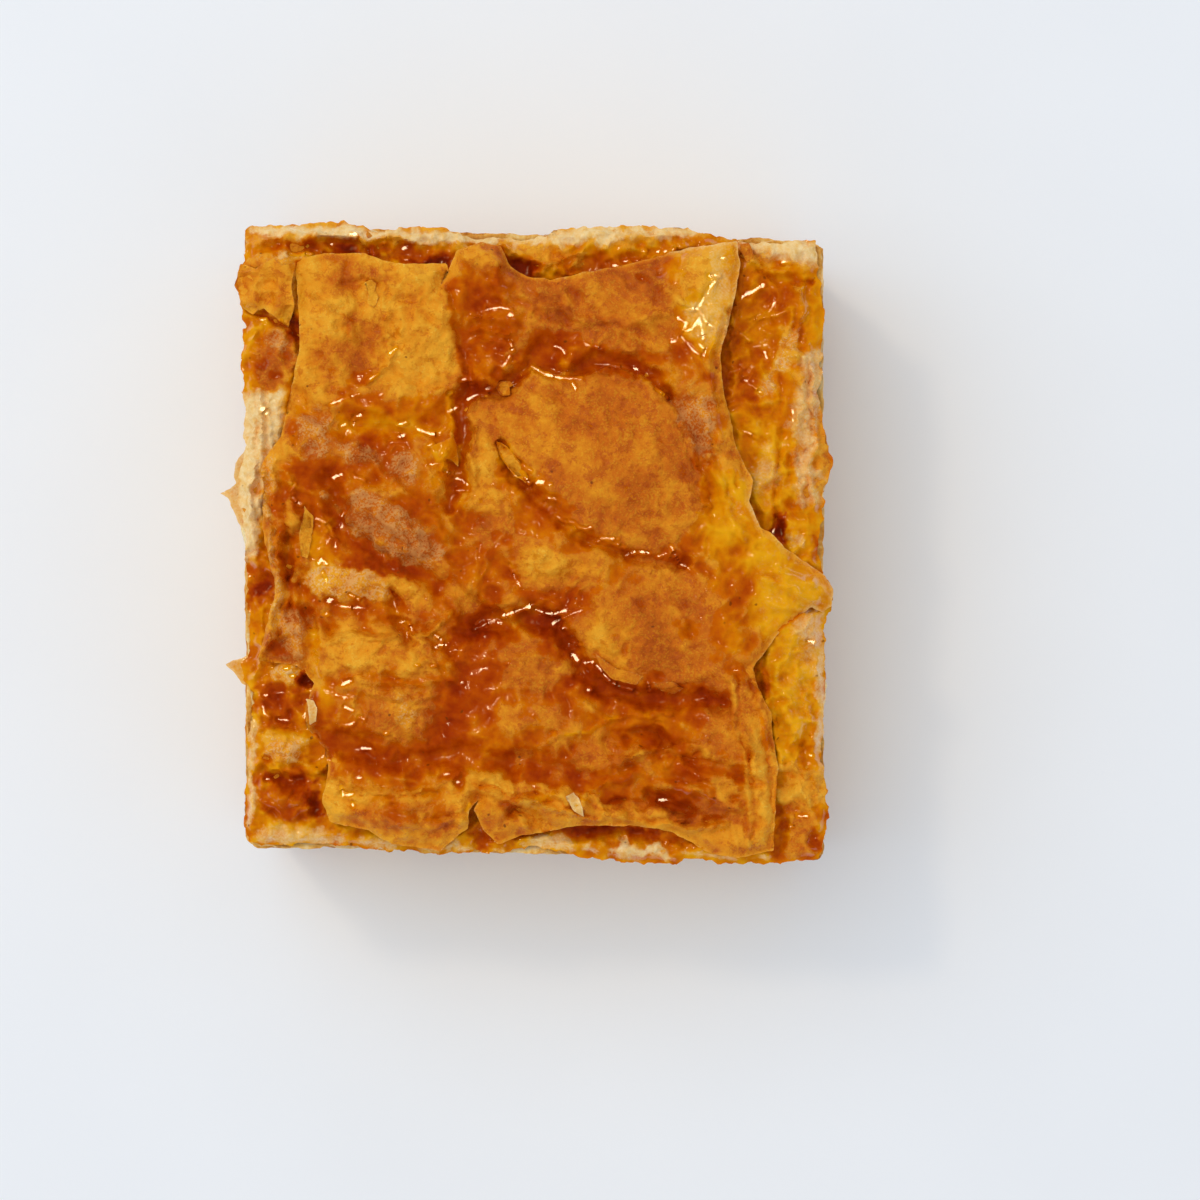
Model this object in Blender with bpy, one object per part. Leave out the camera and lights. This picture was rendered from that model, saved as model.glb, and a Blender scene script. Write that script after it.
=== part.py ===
"""A cut slice of galaktoboureko: set custard between two stacks of syrup-soaked pastry leaves.

Metres, +Z up. The origin is the centre of the flat base. +X and +Y run along the slice's two cut
directions, and the longer cut side runs along Y. Each of the three solids is a unit block, built from
a grid and extruded rings, that is then bent onto the slice's real outline and relief.
"""

import math
from typing import Callable, NamedTuple

import bmesh
import bpy
from mathutils import Vector, noise

MM = 0.001

# The cut: one of twelve pieces from a 230 x 330 mm pan, with its sides a little out of square.
SLICE_X = 76.6 * MM
SLICE_Y = 82.4 * MM
SKEW = -0.026
CORNER_PULL = 0.018

# The stack, from the plate up.
BASE_THICK = 5.6 * MM
CUSTARD_THICK = 24.6 * MM
GAP = 0.3 * MM
CUSTARD_LOW = BASE_THICK + GAP
CUSTARD_HIGH = CUSTARD_LOW + CUSTARD_THICK
TOP_LOW = CUSTARD_HIGH + GAP
TOP_LEVEL = 38.8 * MM

# The torn uppermost leaf and the reliefs on it.
SHEET_LIFT = 1.5 * MM
SHEET_EDGE_SOFT = 1.3 * MM
WRINKLE_HEIGHT = 0.55 * MM
WRINKLE_LENGTH = 7.5 * MM
HIGHEST = 44.4 * MM

# Mesh fineness.
TOP_SEGMENTS = (50, 54)
SLAB_SEGMENTS = (30, 32)
TOP_RINGS = 3
RELIEF_SMOOTHING = 2
CUSTARD_RINGS = 5
BASE_RINGS = 3


class Hump(NamedTuple):
    """A rounded rise or, with a negative height, a hollow; lengths in millimetres, turn in degrees."""

    x: float
    y: float
    long: float
    wide: float
    turn: float
    height: float


class Crease(NamedTuple):
    """A furrow along a route; lengths in millimetres."""

    route: tuple
    wide: float
    deep: float


class Reach(NamedTuple):
    """A place where one side of a solid stands out past the cut; lengths in millimetres.

    side is the outward direction, centre and half are along the side, low and high are heights.
    """

    side: tuple
    centre: float
    half: float
    out: float
    low: float
    high: float


SHEET_OUTLINE = (
    (-31.6, 37.6), (-25.9, 38.4), (-17.9, 36.8), (-11.5, 37.1), (-7.2, 40.3), (-2.9, 36.8),
    (2.8, 35.1), (8.8, 36.5), (15.5, 38.5), (27.3, 40.6), (27.5, 36.5), (24.5, 25.9),
    (25.5, 19.2), (28.1, 9.9), (31.5, 1.9), (37.0, -3.5), (38.6, -8.5), (34.1, -10.6),
    (29.7, -16.1), (31.6, -21.5), (32.3, -34.1), (31.8, -40.5), (20.8, -40.1), (16.8, -37.5),
    (3.5, -38.1), (-3.2, -40.4), (-7.2, -38.1), (-11.9, -40.6), (-25.2, -38.1), (-27.9, -34.0),
    (-30.5, -23.5), (-36.3, -18.1), (-35.2, -7.5), (-34.5, -2.1), (-36.8, 9.9), (-32.4, 21.2),
)  # fmt: skip

HUMPS = (
    Hump(9.0, 9.0, 18.5, 17.0, 0, 3.2),
    Hump(-16.0, 29.0, 9.0, 6.5, 75, 1.5),
    Hump(-26.5, 28.5, 3.6, 8.5, 0, 1.3),
    Hump(-4.5, 37.5, 6.5, 3.4, -35, 1.2),
    Hump(17.0, 33.0, 10.0, 4.5, 25, 1.2),
    Hump(21.5, 27.0, 5.5, 9.0, -15, 1.0),
    Hump(-20.5, 5.0, 9.0, 5.0, -35, 1.4),
    Hump(-19.5, -15.0, 11.0, 7.0, 5, 1.6),
    Hump(-1.5, -16.0, 5.0, 4.0, -30, 1.1),
    Hump(14.0, -9.0, 10.0, 7.0, -20, 1.6),
    Hump(25.0, -13.0, 7.0, 9.0, 15, 1.4),
    Hump(24.5, -30.0, 6.5, 10.0, 5, 1.4),
    Hump(2.0, -24.5, 9.0, 4.5, 5, 1.1),
    Hump(-4.0, -35.0, 8.0, 3.5, 15, 1.3),
    Hump(-19.0, -36.5, 9.0, 4.0, -5, 1.0),
    Hump(34.5, -6.5, 4.5, 3.4, -20, 1.2),
    Hump(-35.0, 33.5, 3.6, 4.0, 20, 1.4),
    Hump(-34.5, 25.0, 3.4, 4.5, 10, 1.0),
    Hump(-33.5, -27.0, 4.5, 2.8, 5, 1.5),
    Hump(-33.0, -35.0, 4.5, 3.0, 0, 1.0),
    Hump(34.0, 24.5, 3.0, 6.0, -10, 1.0),
    Hump(34.5, 12.0, 3.0, 6.0, 5, 1.3),
    Hump(34.5, -26.0, 3.4, 7.0, 0, 1.4),
    Hump(-28.0, 37.5, 3.5, 2.4, 30, 1.0),
    Hump(-33.5, -12.5, 3.0, 5.0, -10, -1.2),
    Hump(1.8, 25.5, 4.6, 3.2, 10, -1.9),
    Hump(7.0, 24.0, 3.0, 2.6, 0, -1.4),
    Hump(-33.5, 29.3, 3.4, 1.8, -30, -2.2),
    Hump(-11.0, 26.5, 3.4, 6.5, 5, -1.2),
)

CREASES = (
    Crease(((-31.5, 19.0), (-27.0, 15.5), (-20.0, 15.0), (-13.0, 15.5), (-9.5, 19.5)), 2.4, 1.5),
    Crease(((-28.0, 8.0), (-24.0, 2.0), (-19.5, -1.5), (-15.0, -4.2), (-5.5, -10.0)), 2.8, 2.1),
    Crease(((-5.5, -10.0), (-0.5, -8.3), (4.0, -9.2), (8.0, -8.4)), 2.4, 2.0),
    Crease(((-9.5, 19.5), (-9.6, 13.5), (-8.6, 8.0)), 2.4, 2.2),
    Crease(((-9.2, 19.9), (-4.0, 20.6), (-0.2, 22.8), (4.8, 21.8), (9.5, 23.0), (14.0, 22.6)), 2.2, 2.0),
    Crease(((14.0, 22.6), (17.5, 19.8), (20.2, 15.8), (22.0, 11.8)), 2.2, 1.6),
    Crease(((-4.9, 13.5), (-0.5, 8.9), (1.5, 5.2), (3.6, 3.2), (9.5, 0.2), (17.8, -1.5)), 2.2, 1.5),
    Crease(((2.5, -10.8), (5.0, -14.2), (8.1, -16.2), (10.8, -18.6), (15.0, -19.6), (20.0, -19.8)), 2.4, 1.9),
    Crease(((-31.5, 12.0), (-32.0, 4.0), (-33.0, -3.0), (-35.2, -11.5)), 2.2, 1.2),
    Crease(((-30.2, -11.0), (-30.4, -21.0), (-28.8, -27.0), (-27.4, -33.0)), 2.2, 1.6),
    Crease(((-21.0, -3.0), (-17.8, -9.5), (-14.0, -12.5), (-9.5, -14.0)), 2.2, 1.5),
    Crease(((-27.0, -25.0), (-21.9, -27.5), (-14.5, -27.5), (-9.0, -29.0), (7.0, -31.5)), 2.8, 1.6),
    Crease(((10.0, -27.0), (16.0, -25.0), (21.0, -29.0), (27.0, -30.5)), 2.2, 1.3),
    Crease(((-7.6, -41.5), (-7.9, -37.0), (-8.0, -34.0)), 1.8, 2.6),
)

TOP_REACHES = (
    Reach((1, 0), -7.6, 4.2, 2.3, 32.0, 46.0),
    Reach((1, 0), 12.0, 5.0, 1.2, 29.0, 37.0),
    Reach((0, 1), -25.5, 6.0, 1.0, 32.0, 46.0),
    Reach((0, 1), 12.2, 7.0, 1.2, 32.0, 46.0),
    Reach((0, -1), 18.0, 9.0, 1.0, 32.0, 46.0),
    Reach((-1, 0), 32.0, 5.0, 1.1, 30.0, 46.0),
)
CUSTARD_REACHES = (
    Reach((-1, 0), 8.0, 6.5, 3.1, 20.0, 30.0),
    Reach((-1, 0), -17.0, 3.5, 2.2, 22.0, 31.0),
    Reach((1, 0), -13.5, 5.0, 0.6, 12.0, 24.0),
)
BASE_REACHES = (
    Reach((-1, 0), -30.0, 8.0, 0.7, -1.0, 6.0),
    Reach((0, -1), -18.0, 12.0, 0.6, -1.0, 6.0),
)

# Side shapes: the knife's wander, and how the custard and base settle outwards.
SLOW_WAVE = (0.45 * MM, 16.0 * MM)
QUICK_WAVE = (0.30 * MM, 4.5 * MM)
CUSTARD_BELLY = 0.55 * MM
CUSTARD_SAG = 0.35 * MM
BASE_SPREAD = 0.25 * MM
CRUST_EDGE_DROP = 0.9 * MM


def remove_scene_objects() -> None:
    """Clears what the file starts with."""
    for thing in list(bpy.data.objects):
        bpy.data.objects.remove(thing)


def smooth_step(value: float) -> float:
    """0 below 0, 1 above 1, and a smooth S between them."""
    value = min(max(value, 0.0), 1.0)
    return value * value * (3.0 - 2.0 * value)


def bell(value: float) -> float:
    """1 at 0, falling smoothly to 0 at 1 and beyond."""
    return smooth_step(1.0 - abs(value))


def distance_to_route(point: Vector, route: tuple) -> float:
    """Shortest distance, in metres, from a point to a route whose points are in millimetres."""
    nearest = math.inf
    for start, end in zip(route, route[1:]):
        a = Vector(start) * MM
        b = Vector(end) * MM
        along = b - a
        share = (point - a).dot(along) / along.length_squared
        foot = a + along * min(max(share, 0.0), 1.0)
        nearest = min(nearest, (point - foot).length)
    return nearest


def inside_outline(point: Vector, outline: tuple) -> bool:
    """Whether a point, in metres, lies within an outline whose points are in millimetres."""
    inside = False
    for (x0, y0), (x1, y1) in zip(outline, outline[1:] + outline[:1]):
        if (y0 * MM > point.y) == (y1 * MM > point.y):
            continue
        crossing = x0 * MM + (point.y - y0 * MM) * (x1 - x0) / (y1 - y0)
        if point.x < crossing:
            inside = not inside
    return inside


def sheet_share(point: Vector) -> float:
    """1 well inside the uppermost leaf, 0 outside it, and a soft step at its torn edge."""
    away = distance_to_route(point, SHEET_OUTLINE + SHEET_OUTLINE[:1])
    signed = away if inside_outline(point, SHEET_OUTLINE) else -away
    return smooth_step(0.5 + signed / (2.0 * SHEET_EDGE_SOFT))


def hump_height(point: Vector, hump: Hump) -> float:
    """Height of one hump over a point."""
    turn = math.radians(hump.turn)
    dx = point.x - hump.x * MM
    dy = point.y - hump.y * MM
    along = (dx * math.cos(turn) + dy * math.sin(turn)) / (hump.long * MM)
    across = (dy * math.cos(turn) - dx * math.sin(turn)) / (hump.wide * MM)
    return hump.height * MM * bell(math.hypot(along, across))


def top_relief(x: float, y: float) -> float:
    """Height of the crust over the base plane."""
    point = Vector((x, y))
    height = TOP_LEVEL + SHEET_LIFT * sheet_share(point)
    height += sum(hump_height(point, hump) for hump in HUMPS)
    for crease in CREASES:
        height -= crease.deep * MM * bell(distance_to_route(point, crease.route) / (crease.wide * MM))
    height += WRINKLE_HEIGHT * noise.noise(Vector((x, y, 0.0)) / WRINKLE_LENGTH)
    return min(height, HIGHEST)


def side_wave(along: float, side_key: float, layer: float) -> float:
    """How far the knife's cut wanders in or out at a place along a side."""
    slow = SLOW_WAVE[0] * noise.noise(Vector((along / SLOW_WAVE[1], side_key, layer * 0.15)))
    quick = QUICK_WAVE[0] * noise.noise(Vector((along / QUICK_WAVE[1], side_key + 7.0, layer)))
    return slow + quick


def reach_at(reaches: tuple, side: tuple, along: float, height: float) -> float:
    """How far the stand-outs of one side push it at a place and height."""
    total = 0.0
    for reach in reaches:
        if reach.side != side:
            continue
        beside = bell((along - reach.centre * MM) / (reach.half * MM))
        middle = (reach.low + reach.high) / 2.0
        tall = (reach.high - reach.low) / 2.0
        total += reach.out * MM * beside * bell((height / MM - middle) / tall)
    return total


def outline_place(u: float, v: float, height: float, layer: float, swell: float, reaches: tuple) -> Vector:
    """Bends a point of the unit square, -1 to 1 each way, onto the slice's outline at a height."""
    corner = 1.0 - CORNER_PULL * (u * u * v * v) ** 6
    x = u * SLICE_X / 2.0 * corner
    y = v * SLICE_Y / 2.0 * corner
    near_x = abs(u) ** 8
    near_y = abs(v) ** 8
    side_x = (int(math.copysign(1, u)), 0)
    side_y = (0, int(math.copysign(1, v)))
    push_x = side_wave(y, 3.0 * side_x[0], layer) + swell + reach_at(reaches, side_x, y, height)
    push_y = side_wave(x, 5.0 * side_y[1], layer) + swell + reach_at(reaches, side_y, x, height)
    x += side_x[0] * push_x * near_x
    y += side_y[1] * push_y * near_y
    return Vector((x, y + SKEW * x))


def place_top(u: float, v: float, depth: float) -> Vector:
    """The crust: relief on top, then rings down to a flat underside."""
    flat = outline_place(u, v, TOP_LEVEL, 0.0, 0.0, TOP_REACHES)
    crown = top_relief(flat.x, flat.y)
    crown -= CRUST_EDGE_DROP * max(abs(u), abs(v)) ** 24
    if depth == 0.0:
        return Vector((flat.x, flat.y, crown))
    height = crown + (TOP_LOW - crown) * depth
    ring = outline_place(u, v, height, 2.0 * depth, 0.0, TOP_REACHES)
    return Vector((ring.x, ring.y, height))


def place_custard(u: float, v: float, depth: float) -> Vector:
    """The custard: flat above and below, with sides that belly out a little."""
    height = CUSTARD_HIGH - CUSTARD_THICK * depth
    belly = CUSTARD_BELLY * math.sin(math.pi * depth) + CUSTARD_SAG * depth
    ring = outline_place(u, v, height, 0.8 * depth + 4.0, belly, CUSTARD_REACHES)
    return Vector((ring.x, ring.y, height))


def place_base(u: float, v: float, depth: float) -> Vector:
    """The pastry base: pressed flat by the weight above it."""
    height = BASE_THICK * (1.0 - depth)
    spread = BASE_SPREAD + CUSTARD_SAG * depth
    ring = outline_place(u, v, height, 3.0 * depth + 9.0, spread, BASE_REACHES)
    return Vector((ring.x, ring.y, height))


def boundary_edges(block: bmesh.types.BMesh) -> list:
    """The edges with a face on one side only."""
    return [edge for edge in block.edges if edge.is_boundary]


def unit_block(segments: tuple, rings: int, keep_grid: bool) -> bmesh.types.BMesh:
    """A closed block over the unit square: z runs from 0 on top to -1 below, in even rings."""
    block = bmesh.new()
    bmesh.ops.create_grid(block, x_segments=segments[0], y_segments=segments[1], size=1.0)
    if not keep_grid:
        bmesh.ops.dissolve_faces(block, faces=block.faces[:])
    for _ in range(rings):
        grown = bmesh.ops.extrude_edge_only(block, edges=boundary_edges(block))["geom"]
        lower = [item for item in grown if isinstance(item, bmesh.types.BMVert)]
        bmesh.ops.translate(block, verts=lower, vec=Vector((0.0, 0.0, -1.0 / rings)))
    bmesh.ops.holes_fill(block, edges=boundary_edges(block), sides=0)
    bmesh.ops.recalc_face_normals(block, faces=block.faces[:])
    return block


def pastry_material(name: str, colour: tuple, roughness: float) -> bpy.types.Material:
    """A plain dielectric food material."""
    material = bpy.data.materials.new(name)
    material.use_nodes = True
    shader = material.node_tree.nodes["Principled BSDF"]
    shader.inputs["Base Color"].default_value = (*colour, 1.0)
    shader.inputs["Roughness"].default_value = roughness
    shader.inputs["Metallic"].default_value = 0.0
    return material


def add_solid(
    name: str,
    block: bmesh.types.BMesh,
    place: Callable[[float, float, float], Vector],
    material: bpy.types.Material,
    collection: bpy.types.Collection,
    smoothing: int = 0,
) -> bpy.types.Object:
    """Bends a unit block into place, evens out its relief and makes it a named object."""
    for vertex in block.verts:
        depth = round(-vertex.co.z, 6)
        vertex.co = place(vertex.co.x, vertex.co.y, depth)
    block.normal_update()
    relief = [vertex for vertex in block.verts if min(face.normal.z for face in vertex.link_faces) > 0.5]
    for _ in range(smoothing):
        bmesh.ops.smooth_vert(block, verts=relief, factor=0.5, use_axis_z=True)
    bmesh.ops.recalc_face_normals(block, faces=block.faces[:])
    mesh = bpy.data.meshes.new(name)
    block.to_mesh(mesh)
    block.free()
    mesh.materials.append(material)
    mesh.shade_smooth()
    mesh.set_sharp_from_angle(angle=math.radians(55.0))
    solid = bpy.data.objects.new(name, mesh)
    collection.objects.link(solid)
    return solid


def build() -> None:
    """Makes the three solids of the slice."""
    remove_scene_objects()
    collection = bpy.data.collections.new("galaktoboureko_slice")
    bpy.context.scene.collection.children.link(collection)
    crust = pastry_material("baked_crust", (0.55, 0.22, 0.03), 0.35)
    custard = pastry_material("set_custard", (0.80, 0.60, 0.25), 0.45)
    base = pastry_material("soaked_pastry", (0.50, 0.24, 0.05), 0.40)
    add_solid("bottom_pastry", unit_block(SLAB_SEGMENTS, BASE_RINGS, False), place_base, base, collection)
    add_solid("custard", unit_block(SLAB_SEGMENTS, CUSTARD_RINGS, False), place_custard, custard, collection)
    top = unit_block(TOP_SEGMENTS, TOP_RINGS, True)
    add_solid("top_pastry", top, place_top, crust, collection, RELIEF_SMOOTHING)


build()
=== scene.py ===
"""Looks for a cut slice of galaktoboureko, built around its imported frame.

The slice is set semolina custard between two stacks of thin pastry leaves. Its top leaf is crinkled,
torn and brushed with syrup. Sizes in the classes are millimetres in the frame's own axes, and each
mesh is written in metres. Every piece of the slice rides on the one body, root.
"""

from __future__ import annotations

import logging
import math

from dataclasses import dataclass, field
from enum import Enum

import bpy
import numpy as np
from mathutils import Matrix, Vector
from mathutils.geometry import delaunay_2d_cdt

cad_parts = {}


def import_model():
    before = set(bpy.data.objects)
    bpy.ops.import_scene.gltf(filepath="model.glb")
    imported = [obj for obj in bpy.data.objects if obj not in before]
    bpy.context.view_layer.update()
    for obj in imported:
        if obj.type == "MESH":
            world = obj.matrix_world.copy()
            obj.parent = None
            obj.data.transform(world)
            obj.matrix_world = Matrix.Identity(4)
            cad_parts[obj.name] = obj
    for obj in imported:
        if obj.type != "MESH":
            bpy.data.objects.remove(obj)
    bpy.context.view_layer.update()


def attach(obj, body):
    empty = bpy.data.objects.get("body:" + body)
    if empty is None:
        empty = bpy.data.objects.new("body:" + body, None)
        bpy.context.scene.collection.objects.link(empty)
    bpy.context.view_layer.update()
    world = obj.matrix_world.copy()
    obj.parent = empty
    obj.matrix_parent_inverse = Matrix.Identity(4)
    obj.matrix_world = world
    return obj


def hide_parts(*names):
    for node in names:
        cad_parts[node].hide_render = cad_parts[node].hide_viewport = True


MM = 0.001
ROOT = "root"
LOOK_ATTRIBUTE = "look"
LEAF_ATTRIBUTE = "leaf"
RIM_ATTRIBUTE = "rim"

# The stack's levels over the plate, in millimetres.
BASE_LOW, BASE_HIGH = 0.0, 5.6
CUSTARD_LOW, CUSTARD_HIGH = 5.7, 30.6
STACK_LOW, STACK_HIGH = 30.9, 36.4
BED_LEVEL = 38.2
BED_LOWEST = 37.0
SHEET_LEVEL = 40.2
SHEET_LOWEST = 38.3
TALLEST = 44.0

# The ends of the slice run out of square by this much.
SKEW = -0.026

# Half the width of the slice, near enough to tell how far a scaled outline moves in.
HALF_SLICE = 39.0

# The browning share, painted shade of the darkest holes included, runs to this.
BAKE_SPAN = 1.3

# Borders of looks are this much softer than their shapes say, and this much more ragged.
SPREAD = 2.4
TATTER = 1.5
WANDER = 0.6

# No border of an area reaches further than this.
REGION_REACH = 6.0

# Points lie close together this near to the middle of a bead of syrup.
FINE_REACH = 0.62

# The bright core of the key light stands over the upper left corner, this high over the horizon.
KEY_TURN = math.radians(135.0)
KEY_RISE = math.radians(58.0)
CORE_AWAY = 1500.0

# The camera looks straight down from here.
CAMERA_PLACE = (8.8, -7.5, 638.2)

Point2 = tuple[float, float]
Route = tuple[Point2, ...]
Array = np.ndarray
Stops = tuple[tuple[float, str], ...]
Socket = bpy.types.NodeSocket

report = logging.getLogger("galaktoboureko")


def path(*numbers: float) -> Route:
    """The points of a run of millimetre numbers, x and y in turn."""
    return tuple(zip(numbers[0::2], numbers[1::2]))


def smooth_step(value: Array) -> Array:
    """A smooth S: 0 for numbers below 0, 1 for numbers above 1."""
    held = np.clip(value, 0.0, 1.0)
    return held * held * (3.0 - 2.0 * held)


def oval_axes(x: Array, y: Array, turn: float, long: float, wide: float = 1.0) -> tuple[Array, Array]:
    """Turned coordinates, in which an oval or a pattern is round.

    Args:
        x: x of the points.
        y: y of the points.
        turn: the oval's long way, in degrees from +X.
        long: its size that way.
        wide: its size across.

    Returns:
        The coordinates along and across it.
    """
    angle = math.radians(turn)
    along = (x * math.cos(angle) + y * math.sin(angle)) / long
    return along, (y * math.cos(angle) - x * math.sin(angle)) / wide


class Noise:
    """Gradient noise over points in millimetres, the same on every run."""

    CELLS = 256

    def __init__(self, seed: int) -> None:
        """Draws the lattice.

        Args:
            seed: picks the pattern.
        """
        rng = np.random.default_rng(seed)
        slopes = rng.normal(size=(self.CELLS, 3))
        self.slopes = slopes / np.linalg.norm(slopes, axis=1, keepdims=True)
        self.order = rng.permutation(self.CELLS)

    def at(self, x: Array, y: Array, z: Array | float, size: float) -> Array:
        """One layer of noise.

        Args:
            x: first coordinates.
            y: second coordinates.
            z: third coordinates, or one number for a flat cut.
            size: width of a bump.

        Returns:
            Values of about -1 to 1.
        """
        spots = np.stack(np.broadcast_arrays(x, y, z), axis=-1) / size + 37.4
        low = np.floor(spots).astype(int)
        part = spots - low
        ease = part**3 * (part * (part * 6.0 - 15.0) + 10.0)
        total = np.zeros(part.shape[:-1])
        for corner in range(8):
            step = np.array([corner & 1, corner >> 1 & 1, corner >> 2 & 1])
            cell = low + step
            key = self.order[cell[..., 0] % self.CELLS]
            key = self.order[(key + cell[..., 1]) % self.CELLS]
            key = self.order[(key + cell[..., 2]) % self.CELLS]
            share = np.prod(np.where(step == 1, ease, 1.0 - ease), axis=-1)
            total += share * np.sum(self.slopes[key] * (part - step), axis=-1)
        return total * 1.7

    def layers(self, x: Array, y: Array, z: Array | float, size: float, count: int, gain: float = 0.5) -> Array:
        """Several layers of noise, each of half the size of the last.

        Args:
            x: first coordinates.
            y: second coordinates.
            z: third coordinates.
            size: width of the widest bump.
            count: how many layers.
            gain: how strong each layer is next to the last.

        Returns:
            Values of about -1 to 1.
        """
        total = np.zeros(np.broadcast(x, y, z).shape)
        for layer in range(count):
            total += gain**layer * self.at(x, y, np.asarray(z) + 11.3 * layer, size / 2.0**layer)
        return total

    def ridges(self, x: Array, y: Array, size: float) -> Array:
        """Thin crests such as crumpled paper has.

        Args:
            x: first coordinates.
            y: second coordinates.
            size: distance between crests.

        Returns:
            1 on a crest, falling to 0.
        """
        bend_x = x + 0.45 * size * self.at(x, y, 3.1, size * 1.3)
        bend_y = y + 0.45 * size * self.at(x, y, 7.9, size * 1.3)
        return 1.0 - np.minimum(np.abs(self.at(bend_x, bend_y, 1.7, size)) * 2.2, 1.0)


RELIEF_NOISE = Noise(812)
BORDER_NOISE = Noise(57)
SIDE_NOISE = Noise(293)


def lengths(ends: Array) -> Array:
    """How far along a line each of its points lies."""
    return np.concatenate([[0.0], np.cumsum(np.hypot(*np.diff(ends, axis=0).T))])


def near_route(x: Array, y: Array, route: Route, reach: float) -> tuple[Array, Array, Array]:
    """Measures the points that lie near a route.

    Args:
        x: x of the points.
        y: y of the points.
        route: the route's points.
        reach: how far to look.

    Returns:
        The indices of the points in reach, their distances from the route, and how far along it they are.
    """
    ends = np.array(route, float)
    low, high = ends.min(0) - reach, ends.max(0) + reach
    found = np.flatnonzero((x > low[0]) & (x < high[0]) & (y > low[1]) & (y < high[1]))
    px, py = x[found], y[found]
    nearest = np.full(found.shape, np.inf)
    along = np.zeros(found.shape)
    gone = 0.0
    for (x0, y0), (x1, y1) in zip(ends, ends[1:]):
        dx, dy = x1 - x0, y1 - y0
        long = math.hypot(dx, dy)
        share = np.clip(((px - x0) * dx + (py - y0) * dy) / long**2, 0.0, 1.0)
        away = np.hypot(px - x0 - share * dx, py - y0 - share * dy)
        closer = away < nearest
        nearest = np.where(closer, away, nearest)
        along = np.where(closer, gone + share * long, along)
        gone += long
    near = nearest < reach
    return found[near], nearest[near], along[near]


def inside(x: Array, y: Array, outline: Route) -> Array:
    """Tells which points lie within an outline.

    Args:
        x: x of the points.
        y: y of the points.
        outline: the outline's points, in order.

    Returns:
        True for each point inside.
    """
    held = np.zeros(x.shape, bool)
    for (x0, y0), (x1, y1) in zip(outline, outline[1:] + outline[:1]):
        if y0 == y1:
            continue
        crossing = x0 + (y - y0) * (x1 - x0) / (y1 - y0)
        held ^= ((y0 > y) != (y1 > y)) & (x < crossing)
    return held


def closed_distance(x: Array, y: Array, outline: Route, reach: float) -> Array:
    """Signed distance from an outline, no further than reach.

    Args:
        x: x of the points.
        y: y of the points.
        outline: the outline's points, in order.
        reach: the largest distance told apart.

    Returns:
        Distances, above zero inside.
    """
    away = np.full(x.shape, reach)
    found, nearest, _ = near_route(x, y, outline + outline[:1], reach)
    away[found] = nearest
    return np.where(inside(x, y, outline), away, -away)


@dataclass(frozen=True)
class Tone:
    """How a spot of pastry looks: shares of syrup, browning (in holes, creases and under overhangs also painted shade),
    rosy crust and cream, and its extra relief.
    """

    wet: float
    bake: float
    rosy: float = 0.0
    cream: float = 0.0
    rough: float = 1.0


class Look(Enum):
    """The looks that the baked top shows."""

    YELLOW_DRY = Tone(0.05, 0.05, rosy=0.10)
    GOLD_DRY = Tone(0.12, 0.22, rosy=0.20)
    TAN_DRY = Tone(0.20, 0.45, rosy=0.25, rough=0.6)
    TAN_DAMP = Tone(0.62, 0.53, rosy=0.20, rough=1.15)
    BROWN_DRY = Tone(0.28, 0.56, rosy=0.30)
    ROSY_DRY = Tone(0.08, 0.50, rosy=0.9)
    PINK_DRY = Tone(0.12, 0.15, rosy=0.75)
    YELLOW_SOAKED = Tone(0.85, 0.05, cream=0.42)
    PALE = Tone(0.35, 0.18, cream=0.70)
    YELLOW_WET = Tone(0.90, 0.10, cream=0.6)
    GOLD_WET = Tone(0.85, 0.28)
    AMBER_WET = Tone(0.95, 0.52)
    BROWN_WET = Tone(0.90, 0.68)
    RED_SYRUP = Tone(1.0, 0.80, rough=0.7)
    DEEP_SYRUP = Tone(1.0, 0.92, rough=0.5)
    # Syrup-filled holes and gaps, painted darker than any syrup: painted shade where they fall in shadow.
    SYRUP_HOLE_AND_SHADE = Tone(1.0, 1.15, rough=0.5)
    CREAM = Tone(0.30, 0.15, cream=0.9)
    CREAM_WET = Tone(0.75, 0.15, cream=0.7)


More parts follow.
